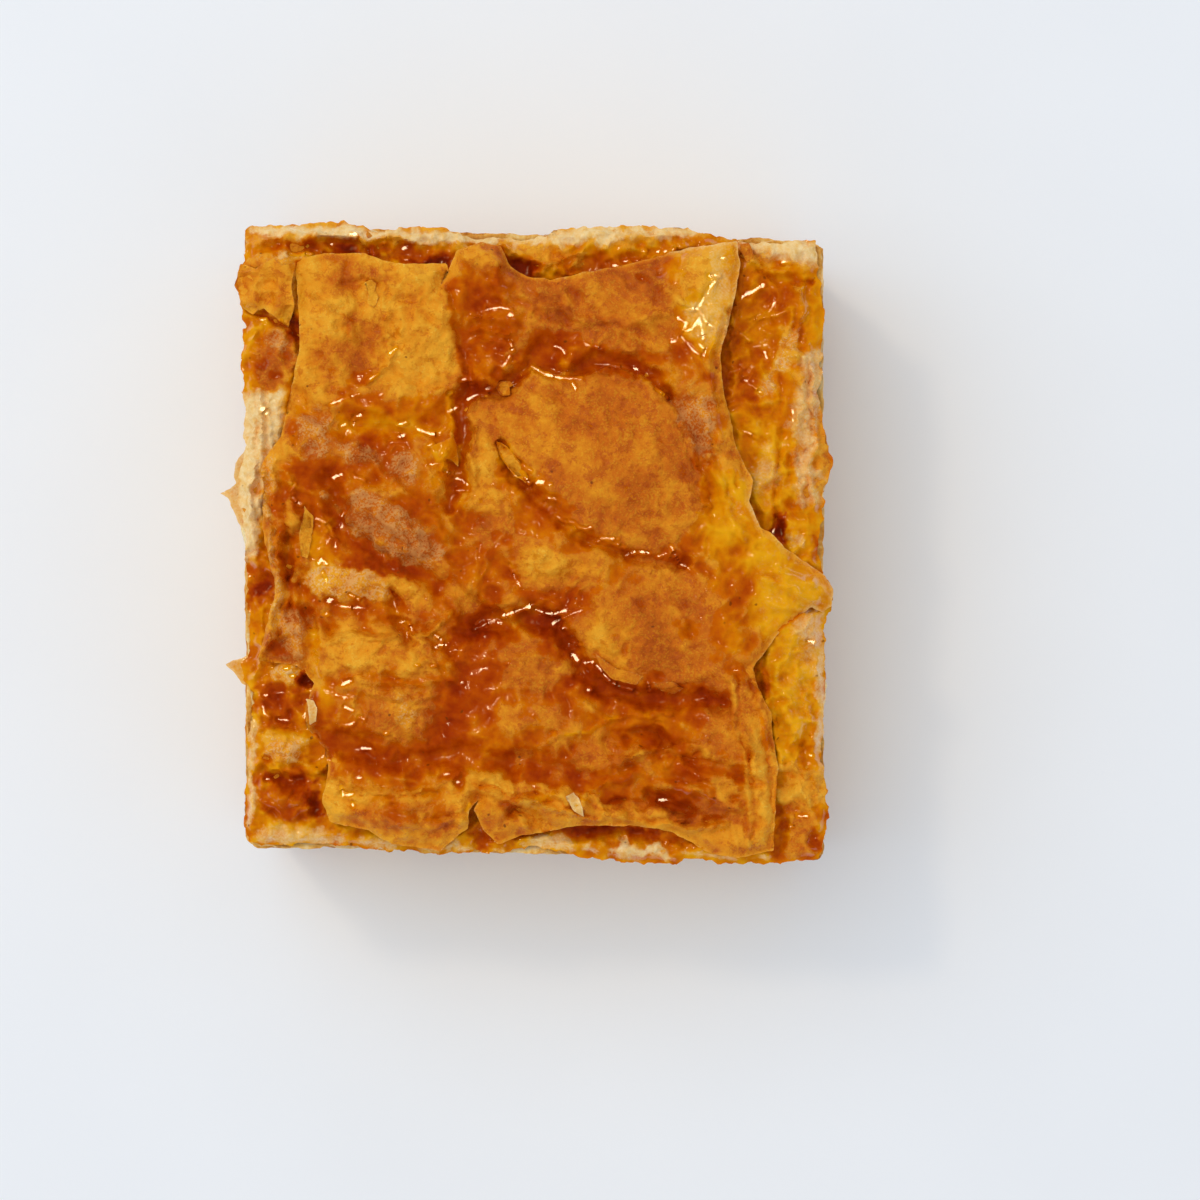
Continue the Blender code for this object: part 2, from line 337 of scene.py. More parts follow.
@dataclass
class Skin:
    """A surface at a set of points: heights, and the shares that its finish reads."""

    x: Array
    y: Array
    z: Array
    wet: Array
    bake: Array
    rosy: Array
    cream: Array
    rough: Array

    @classmethod
    def plain(cls, x: Array, y: Array, z: Array | float, look: Look) -> Skin:
        """A surface of one look.

        Args:
            x: x of the points.
            y: y of the points.
            z: heights.
            look: the look all over.

        Returns:
            The surface.
        """
        tone = look.value
        whole = [np.full(x.shape, share) for share in (tone.wet, tone.bake, tone.rosy, tone.cream, tone.rough)]
        return cls(x, y, np.zeros(x.shape) + z, *whole)

    def brush(self, found: Array, share: Array, look: Look) -> None:
        """Moves some points towards a look.

        Args:
            found: indices of the points.
            share: how far each moves, 0 to 1.
            look: the look.
        """
        tone = look.value
        for name in ("wet", "bake", "rosy", "cream", "rough"):
            values = getattr(self, name)
            values[found] += (getattr(tone, name) - values[found]) * share

    def mark(self, found: Array, within: Array, kind: Patch | Streak | Region) -> None:
        """Brushes a mark on inside its soft border, and lifts it.

        Args:
            found: indices of the points.
            within: how far inside the border each lies.
            kind: the mark.
        """
        share = smooth_step(0.5 + within / (2.0 * SPREAD * kind.soft))
        self.z[found] += kind.lift * share
        self.brush(found, share, kind.look)

    def wander(self, reach: float) -> None:
        """Shifts the points about a little, so that shapes drawn on them get ragged borders.

        Args:
            reach: how far.
        """
        x, y = self.x, self.y
        self.x = x + reach * BORDER_NOISE.layers(x, y, 40.0, 3.6, 4, 0.6)
        self.y = y + reach * BORDER_NOISE.layers(x, y, 60.0, 3.6, 4, 0.6)

    def shares(self) -> Array:
        """The four shares side by side, as the finish reads them."""
        return np.stack([np.clip(self.wet, 0.0, 1.0), self.bake / BAKE_SPAN, self.rosy, self.cream], axis=1)

    def underside(self) -> Array:
        """The shares of the paler lower face, as one row."""
        return np.array([0.3, float(self.bake.mean()) / 2.0 / BAKE_SPAN, 0.0, 0.25])


@dataclass(frozen=True)
class Hump:
    """A rounded rise or hollow."""

    x: float
    y: float
    long: float
    wide: float
    turn: float
    height: float

    def raise_skin(self, skin: Skin) -> None:
        """Adds the hump to a surface."""
        along, across = oval_axes(skin.x - self.x, skin.y - self.y, self.turn, self.long, self.wide)
        skin.z += self.height * smooth_step(1.0 - np.hypot(along, across))


@dataclass(frozen=True)
class Fold:
    """A furrow, or with a negative depth a raised crest, along a route."""

    route: Route
    wide: float
    deep: float
    look: Look | None = None

    def raise_skin(self, skin: Skin) -> None:
        """Cuts or raises the fold, and brushes its look on.

        Args:
            skin: the surface to change.
        """
        found, away, _ = near_route(skin.x, skin.y, self.route, self.wide + 0.6)
        x, y = skin.x[found], skin.y[found]
        wobble = 0.25 * BORDER_NOISE.at(x, y, 5.0, 2.4)
        share = smooth_step(1.0 - np.maximum(away + wobble, 0.0) / self.wide)
        skin.z[found] -= self.deep * share * (1.0 + 0.5 * BORDER_NOISE.at(x, y, 71.0, 4.0))
        if self.look:
            patchy = 0.72 + 0.9 * BORDER_NOISE.layers(x, y, 25.0, 3.4, 3, 0.6)
            skin.brush(found, smooth_step(share * 1.5 - 0.2) * np.clip(patchy, 0.0, 1.0), self.look)


@dataclass(frozen=True)
class Pleats:
    """Crests side by side, which follow a route."""

    route: Route
    count: int
    gap: float
    wide: float
    rise: float
    look: Look | None = None

    def raise_skin(self, skin: Skin) -> None:
        """Raises the crests, each a little unlike the last.

        Args:
            skin: the surface to change.
        """
        ends = np.array(self.route, float)
        ahead = np.gradient(ends, axis=0)
        across = np.stack([-ahead[:, 1], ahead[:, 0]], axis=1)
        across /= np.linalg.norm(across, axis=1, keepdims=True)
        for place in range(self.count):
            shift = (place - (self.count - 1) / 2.0 + 0.2 * math.sin(2.4 * place)) * self.gap
            rise = self.rise * (0.75 + 0.25 * math.cos(1.9 * place))
            route = tuple(zip(*(ends + across * shift).T.tolist()))
            Fold(route, self.wide, -rise, self.look).raise_skin(skin)


@dataclass(frozen=True)
class Patch:
    """An oval spot with a ragged border, of one look."""

    x: float
    y: float
    long: float
    wide: float
    turn: float
    look: Look
    lift: float = 0.0
    soft: float = 0.5
    ragged: float = 0.7

    # Its shape lies between an oval, which would be 2, and a rounded oblong.
    SQUARENESS = 2.6

    def raise_skin(self, skin: Skin) -> None:
        """Brushes the spot on.

        Args:
            skin: the surface to change.
        """
        reach = max(self.long, self.wide) * 1.35 + SPREAD * self.soft + TATTER * self.ragged
        found = np.flatnonzero((abs(skin.x - self.x) < reach) & (abs(skin.y - self.y) < reach))
        x, y = skin.x[found], skin.y[found]
        along, across = oval_axes(x - self.x, y - self.y, self.turn, self.long, self.wide)
        power = self.SQUARENESS
        out = (np.abs(along) ** power + np.abs(across) ** power) ** (1.0 / power)
        within = (1.0 - out) * min(self.long, self.wide)
        within += TATTER * self.ragged * BORDER_NOISE.layers(x, y, self.x, 2.9, 4, 0.6)
        skin.mark(found, within, self)


@dataclass(frozen=True)
class Streak:
    """A band of one look along a route."""

    route: Route
    half: float
    look: Look
    lift: float = 0.0
    soft: float = 0.4
    ragged: float = 0.5

    def raise_skin(self, skin: Skin) -> None:
        """Brushes the band on.

        Args:
            skin: the surface to change.
        """
        reach = self.half + SPREAD * self.soft + 2.0 * TATTER * self.ragged
        found, away, _ = near_route(skin.x, skin.y, self.route, reach)
        x, y = skin.x[found], skin.y[found]
        within = self.half - away + TATTER * self.ragged * BORDER_NOISE.layers(x, y, self.half, 2.4, 4, 0.6)
        skin.mark(found, within, self)


@dataclass(frozen=True)
class Region:
    """An area of one look within an outline."""

    outline: Route
    look: Look
    lift: float = 0.0
    soft: float = 0.5
    ragged: float = 0.5

    def raise_skin(self, skin: Skin) -> None:
        """Brushes the area on.

        Args:
            skin: the surface to change.
        """
        within = closed_distance(skin.x, skin.y, self.outline, REGION_REACH)
        found = np.flatnonzero(within > -REGION_REACH)
        x, y = skin.x[found], skin.y[found]
        within = within[found] + TATTER * self.ragged * BORDER_NOISE.layers(x, y, self.soft, 2.9, 4, 0.6)
        skin.mark(found, within, self)


@dataclass(frozen=True)
class Glint:
    """A bead of syrup along a route, whose face mirrors the key light's core upwards."""

    route: Route
    half: float = 0.22

    STEP = 0.4
    SKIRT = 0.30
    REACH = 0.55

    def centres(self) -> Array:
        """Places a facet at every step along the route.

        Returns:
            x and y of each facet's middle.
        """
        ends = np.array(self.route, float)
        gone = lengths(ends)
        count = max(int(round(gone[-1] / self.STEP)), 1)
        places = (np.arange(count) + 0.5) * gone[-1] / count
        return np.stack([np.interp(places, gone, ends[:, 0]), np.interp(places, gone, ends[:, 1])], axis=1)

    def planes(self, middles: Array, heights: Array) -> tuple[Array, Array]:
        """The tilted planes that the facets lie in, each shared by as many facets as it fits.

        Args:
            middles: the facets' middles.
            heights: the surface's height at each.

        Returns:
            The slopes in x and y, and the height at each facet's middle.
        """
        slopes = mirror_slopes(middles.mean(0))
        needed = heights - middles @ slopes
        start = 0
        for place in range(1, len(needed) + 1):
            if place == len(needed) or np.ptp(needed[start : place + 1]) > self.REACH:
                needed[start:place] = (needed[start:place].max() + needed[start:place].min()) / 2.0
                start = place
        return slopes, needed + middles @ slopes + 0.05

    def raise_skin(self, skin: Skin, heights: Array) -> None:
        """Tilts the surface along the route.

        Args:
            skin: the surface to change.
            heights: the surface's height at each facet's centre, before any bead.
        """
        middles = self.centres()
        slopes, levels = self.planes(middles, heights)
        found, away, along = near_route(skin.x, skin.y, self.route, self.half * 1.3 + self.SKIRT)
        if not len(found):
            return
        spots = np.stack([skin.x[found], skin.y[found]], axis=1)
        facet = np.argmin(np.linalg.norm(spots[:, None] - middles, axis=2), axis=1)
        plane = levels[facet] + (spots - middles[facet]) @ slopes
        half = self.half * (0.8 + 0.6 * BORDER_NOISE.at(along, middles[0, 0], middles[0, 1], 0.9))
        share = smooth_step(1.0 - (away - half) / self.SKIRT)
        skin.z[found] += (plane - skin.z[found]) * share
        skin.wet[found] += (1.0 - skin.wet[found]) * share
        skin.rough[found] *= 1.0 - share


def humps(*rows: tuple[float, ...]) -> tuple[Hump, ...]:
    """Rises and hollows, each from its row of sizes."""
    return tuple(Hump(*row) for row in rows)


def beads(*rows: tuple[float, ...]) -> tuple[Glint, ...]:
    """Beads of syrup, each from a row of x and y along it, and last its half width if that isn't the usual one."""
    return tuple(Glint(path(*row[: len(row) // 2 * 2]), row[-1] if len(row) % 2 else Glint.half) for row in rows)


def mirror_slopes(spot: Array) -> Array:
    """How a surface slopes where it mirrors the key light's core into the camera.

    Args:
        spot: x and y of the place.

    Returns:
        The rise per millimetre in x and in y.
    """
    place = np.array([spot[0], spot[1], SHEET_LEVEL])
    flat = CORE_AWAY * math.cos(KEY_RISE)
    core = np.array([flat * math.cos(KEY_TURN), flat * math.sin(KEY_TURN), CORE_AWAY * math.sin(KEY_RISE)])
    ways = [(end - place) / np.linalg.norm(end - place) for end in (core, np.array(CAMERA_PLACE))]
    half = ways[0] + ways[1]
    return -half[:2] / half[2]


def smooth_normals(mesh: bpy.types.Mesh, angle: float) -> None:
    """Shades a mesh smooth, except over edges sharper than an angle in degrees."""
    mesh.shade_smooth()
    mesh.set_sharp_from_angle(angle=math.radians(angle))


def make_mesh(name: str, points: Array, faces: list[Array], look: Array | None = None) -> bpy.types.Mesh:
    """Makes a mesh of corners in millimetres.

    Args:
        name: the mesh's name.
        points: the corners.
        faces: arrays of faces, each of one number of corners.
        look: the four shares at each corner.

    Returns:
        The mesh, in metres.
    """
    mesh = bpy.data.meshes.new(name)
    every = [face for group in faces for face in group.tolist()]
    mesh.from_pydata((points * MM).tolist(), [], every)
    if look is not None:
        layer = mesh.attributes.new(LOOK_ATTRIBUTE, "FLOAT_COLOR", "POINT")
        layer.data.foreach_set("color", look.astype(np.float32).ravel())
    mesh.update()
    return mesh


def add_object(name: str, data: bpy.types.ID) -> bpy.types.Object:
    """Puts an object into the scene.

    Args:
        name: its name.
        data: its mesh, lamp or lens.

    Returns:
        The object.
    """
    made = bpy.data.objects.new(name, data)
    bpy.context.scene.collection.objects.link(made)
    return made


def add_piece(name: str, mesh: bpy.types.Mesh, material: bpy.types.Material) -> bpy.types.Object:
    """Makes a finished mesh a piece of the slice.

    Args:
        name: the piece's name.
        mesh: its mesh.
        material: its finish.

    Returns:
        The piece.
    """
    if not mesh.materials:
        mesh.materials.append(material)
    piece = add_object(name, mesh)
    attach(piece, ROOT)
    report.info("%s: %d faces", name, len(mesh.polygons))
    return piece


def hex_grid(outline: Route, spacing: float) -> tuple[Array, Array]:
    """Points in staggered rows over an outline's box.

    Args:
        outline: the outline.
        spacing: distance between points.

    Returns:
        x and y of the points.
    """
    ends = np.array(outline)
    rise = spacing * math.sqrt(3.0) / 2.0
    xs = np.arange(ends[:, 0].min(), ends[:, 0].max(), spacing)
    ys = np.arange(ends[:, 1].min(), ends[:, 1].max(), rise)
    x, y = np.meshgrid(xs, ys)
    x = x + (np.arange(len(ys)) % 2)[:, None] * spacing / 2.0
    return x.ravel(), y.ravel()


def resample(outline: Route, spacing: float, ragged: float, ragged_size: float, seed: float) -> Route:
    """Walks an outline in even steps and makes its line ragged.

    Args:
        outline: the outline.
        spacing: length of a step.
        ragged: how far the line wanders.
        ragged_size: how often it does.
        seed: picks the wander.

    Returns:
        The new outline.
    """
    ends = np.array(outline + outline[:1], float)
    gone = lengths(ends)
    count = int(gone[-1] / spacing)
    places = np.arange(count) * gone[-1] / count
    x = np.interp(places, gone, ends[:, 0])
    y = np.interp(places, gone, ends[:, 1])
    wander_x = BORDER_NOISE.layers(x, y, seed, ragged_size, 2)
    wander_y = BORDER_NOISE.layers(x, y, seed + 20.0, ragged_size, 2)
    return tuple(zip((x + ragged * wander_x).tolist(), (y + ragged * wander_y).tolist()))


def cut_outline(half_x: float, half_y: float, corner: float, skew: float, step: float) -> Array:
    """A plain cut outline with rounded corners, in even steps.

    Args:
        half_x: half its width.
        half_y: half its length.
        corner: radius of its corners.
        skew: how far its ends run out of square.
        step: length of a step.

    Returns:
        The outline's points.
    """
    points = []
    for turn, (sign_x, sign_y) in enumerate(((1, 1), (-1, 1), (-1, -1), (1, -1))):
        for part in np.linspace(0.0, math.pi / 2.0, 7):
            angle = turn * math.pi / 2.0 + part
            x = sign_x * (half_x - corner) + corner * math.cos(angle)
            y = sign_y * (half_y - corner) + corner * math.sin(angle)
            points.append((x, y + skew * x))
    return np.array(resample(tuple(points), step, 0.0, 1.0, 0.0))


def fill_outline(outline: Route, x: Array, y: Array, margin: float) -> tuple[Array, Array, Array]:
    """Fills an outline with triangles through chosen points.

    Args:
        outline: the outline, whose points come first in the result.
        x: x of the inner points.
        y: y of the inner points.
        margin: how far inner points keep from the outline.

    Returns:
        The corners, the triangles, and the index of each outline point.
    """
    keep = closed_distance(x, y, outline, margin * 2.0) > margin
    flat = np.concatenate([np.array(outline), np.stack([x[keep], y[keep]], axis=1)])
    count = len(outline)
    rim = [(index, (index + 1) % count) for index in range(count)]
    spots = [Vector(spot) for spot in flat]
    made = delaunay_2d_cdt(spots, rim, [list(range(count))], 1, 1e-6)
    corners = np.array([tuple(spot) for spot in made[0]])
    source = {old: new for new, olds in enumerate(made[3]) for old in olds}
    faces = np.array([face for face in made[2] if len(face) == 3])
    a, b, c = corners[faces[:, 0]], corners[faces[:, 1]], corners[faces[:, 2]]
    turned = (b - a)[:, 0] * (c - a)[:, 1] - (b - a)[:, 1] * (c - a)[:, 0] < 0
    faces[turned] = faces[turned][:, ::-1]
    return corners, faces, np.array([source[index] for index in range(count)])


@dataclass
class ThinSheet:
    """A closed pastry leaf: a fine upper face, a plain lower face and a thin torn edge."""

    outline: Route
    spacing: float
    edge_thick: float
    thick: float
    lower_spacing: float = 1.6
    smooth: float = 60.0
    glints: tuple[Glint, ...] = ()

    def fine_points(self, spacing: float) -> tuple[Array, Array]:
        """Inner points of the upper face, spaced evenly."""
        return hex_grid(self.outline, spacing)

    def relief(self, x: Array, y: Array) -> Skin:
        """The upper face at some points, before any beads of syrup."""
        raise NotImplementedError

    def upper(self, x: Array, y: Array) -> Skin:
        """The finished upper face at some points, with its beads of syrup.

        Args:
            x: x of the points.
            y: y of the points.

        Returns:
            The surface there.
        """
        skin = self.relief(x, y)
        for glint, heights in zip(self.glints, self.facet_heights()):
            glint.raise_skin(skin, heights)
        return skin

    def facet_heights(self) -> list[Array]:
        """Measures the leaf under each bead's facets, before any bead.

        Returns:
            One array of heights for each bead.
        """
        if not self.glints:
            return []
        middles = [glint.centres() for glint in self.glints]
        spots = np.concatenate(middles)
        heights = self.relief(spots[:, 0], spots[:, 1]).z
        return np.split(heights, np.cumsum([len(middle) for middle in middles])[:-1])

    def lower(self, x: Array, y: Array) -> Array:
        """Heights of the lower face at some points."""
        return self.relief(x, y).z - self.thick

    def build(self, name: str) -> bpy.types.Mesh:
        """Makes the leaf's mesh.

        Args:
            name: the mesh's name.

        Returns:
            The closed mesh.
        """
        above, faces, rim = fill_outline(self.outline, *self.fine_points(self.spacing), self.spacing * 0.6)
        skin = self.upper(above[:, 0], above[:, 1])
        top = np.column_stack([above, skin.z])
        below, under, low_rim = fill_outline(self.outline, *hex_grid(self.outline, self.lower_spacing), 0.9)
        low = np.column_stack([below, self.lower(below[:, 0], below[:, 1])])
        low[low_rim, 2] = top[rim, 2] - self.edge_thick
        start = len(top)
        after, low_after = np.roll(rim, -1), np.roll(low_rim, -1)
        wall = np.stack([rim, low_rim + start, low_after + start, after], axis=1)
        look = np.concatenate([skin.shares(), np.tile(skin.underside(), (len(low), 1))])
        return make_mesh(name, np.concatenate([top, low]), [faces, under[:, ::-1] + start, wall], look)

    def piece(self, name: str, finish: bpy.types.Material) -> bpy.types.Object:
        """Makes the leaf a piece of the crust.

        Args:
            name: the piece's name.
            finish: its material.

        Returns:
            The piece.
        """
        mesh = self.build(name)
        smooth_normals(mesh, self.smooth)
        return add_piece(name, mesh, finish)


SLICE_OUTLINE = path(
    -38.3, 42.3, -34.2, 42.5, -29.5, 42.7, -25.4, 43, -20, 41.5, -16.7, 42.4, -12.4, 42.2, -8.4, 40.8, -5, 40.8,
    -0.7, 40.6, 3.7, 42, 9.3, 42.3, 14.4, 42.5, 21.8, 41.8, 27.5, 40.3, 33.9, 40.2, 37.5, 40.5, 38.2, 35, 38.7, 28.5,
    38, 20, 38.6, 16.3, 39.8, 11, 38.6, 6.3, 38.1, -2, 38.8, -4.4, 39.9, -6.1, 39.9, -8.4, 38.6, -10.1, 38.9, -18.1,
    38.8, -24.5, 38.4, -29, 39.4, -36, 38.7, -39.9, 38, -42, 34.1, -42.5, 27.5, -42.9, 20.6, -41.9, 19.2, -43,
    12.8, -42.6, 5, -41.5, 0.4, -40.3, -4.1, -41.1, -13, -41.4, -20.5, -40.8, -27.6, -40.1, -35.6, -40.1, -38, -39.9,
    -38.9, -37.2, -38.3, -31.9, -38.2, -25.7, -37.4, -19.7, -39, -18, -39.4, -16.2, -38, -14.8, -38.3, -4.4, -38.8, 1.9,
    -39.4, 5, -39.6, 9, -38.7, 13, -38.5, 18.5, -39.2, 26, -38.6, 29.4, -39.6, 34, -38.7, 38,
)  # fmt: skip

SHEET_OUTLINE = path(
    -32.1, 37.8, -27.8, 38.7, -22.5, 38.6, -19.8, 37.6, -17.2, 37.1, -11.6, 37.3, -11.3, 36.2, -12.3, 34.5, -11.6, 36,
    -10.1, 39, -6.7, 40, -4.5, 39.5, -3, 36.8, -1, 35.6, 2.4, 35.1, 7, 36.1, 13, 37.3, 20.4, 39.3, 27, 40.3, 27.5, 37.2,
    26.4, 31.2, 24.8, 25.2, 25.1, 21, 27, 12.5, 29.2, 8.3, 28.6, 5.6, 30, 2.2, 31.5, 1.6, 33.3, -0.4, 35.2, -1.8,
    37.2, -3.2, 38.7, -4.2, 39.8, -6, 39.7, -8.2, 38.4, -9.2, 37, -8.4, 35, -9.9, 32.6, -12, 29, -16.6, 29.9, -19.2,
    31.5, -22.4, 32.4, -30, 32, -37.5, 31.9, -40.9, 27.2, -41.8, 23.9, -41.4, 18.4, -38.4, 14, -37.5, 5.3, -37.6,
    -2.7, -39.2, -4.7, -40.1, -6.7, -38.1, -7.9, -35.4, -7.3, -34, -8.6, -35.4, -8.7, -37.9, -10.5, -39.1, -12.3, -40.8,
    -18.7, -40, -22.3, -38.1, -27.2, -37, -28.1, -34.4, -27.3, -30, -27.8, -27.5, -30.2, -24.5, -30.3, -21.2,
    -29.2, -18.6, -31.5, -16.2, -36.7, -15.6, -35.4, -10.4, -34.3, -6.1, -35.2, -2.1, -36.1, 1.9, -35.9, 8.1,
    -36.3, 10.5, -33.6, 14.5, -32.4, 20, -31.3, 25.2, -31.2, 29, -31.6, 34.7,
)  # fmt: skip

SHEET_HUMPS = humps(
    (9, 9.5, 19, 18, 0, 2.2), (-16, 29, 9.5, 7, 75, 1.3), (-26.5, 28.5, 4.6, 9.5, 0, 1), (-6.2, 37.6, 7, 3.6, -50, 1.5),
    (17, 33, 11, 5.5, 25, 1), (21.5, 27, 6.5, 9, -15, 0.9), (-20.5, 5, 9.5, 6, -35, 1.4),
    (-19.5, -14.5, 12, 7.5, 5, 1.6), (-25, -6, 7, 4, 15, 1), (-1.5, -16, 7, 5, -10, 1), (13, -10, 11, 8, -20, 1.6),
    (25, -13, 8, 10, 15, 1.2), (24.5, -30, 8, 10, 5, 1.1), (1, -23.5, 10, 5, 5, 1), (-18, -22.5, 7, 4.5, 10, 1),
    (-6, -35.5, 8, 4, 15, 1), (-19, -36, 9, 4.5, -5, 1), (3.5, -1, 9, 5.5, -25, 0.8), (35.5, -6.3, 6, 3.2, -20, 1.1),
    (-31.9, 3.5, 1.9, 2.6, 0, 0.7), (1, 25.6, 5, 3, 10, -1.7), (7.2, 24.2, 3.4, 2.8, 0, -1),
    (-8.5, 27.5, 4, 8, 5, -1.5), (-8.5, -11.6, 5, 3.2, 20, -1.5), (-25.5, -27, 7, 3.2, -8, -1.3),
    (-6.4, 22, 1.8, 2.4, 0, 1), (20.8, -11.4, 2.2, 1.8, 0, -0.8), (-33.5, -12.5, 3, 5, -10, -0.9),
)  # fmt: skip

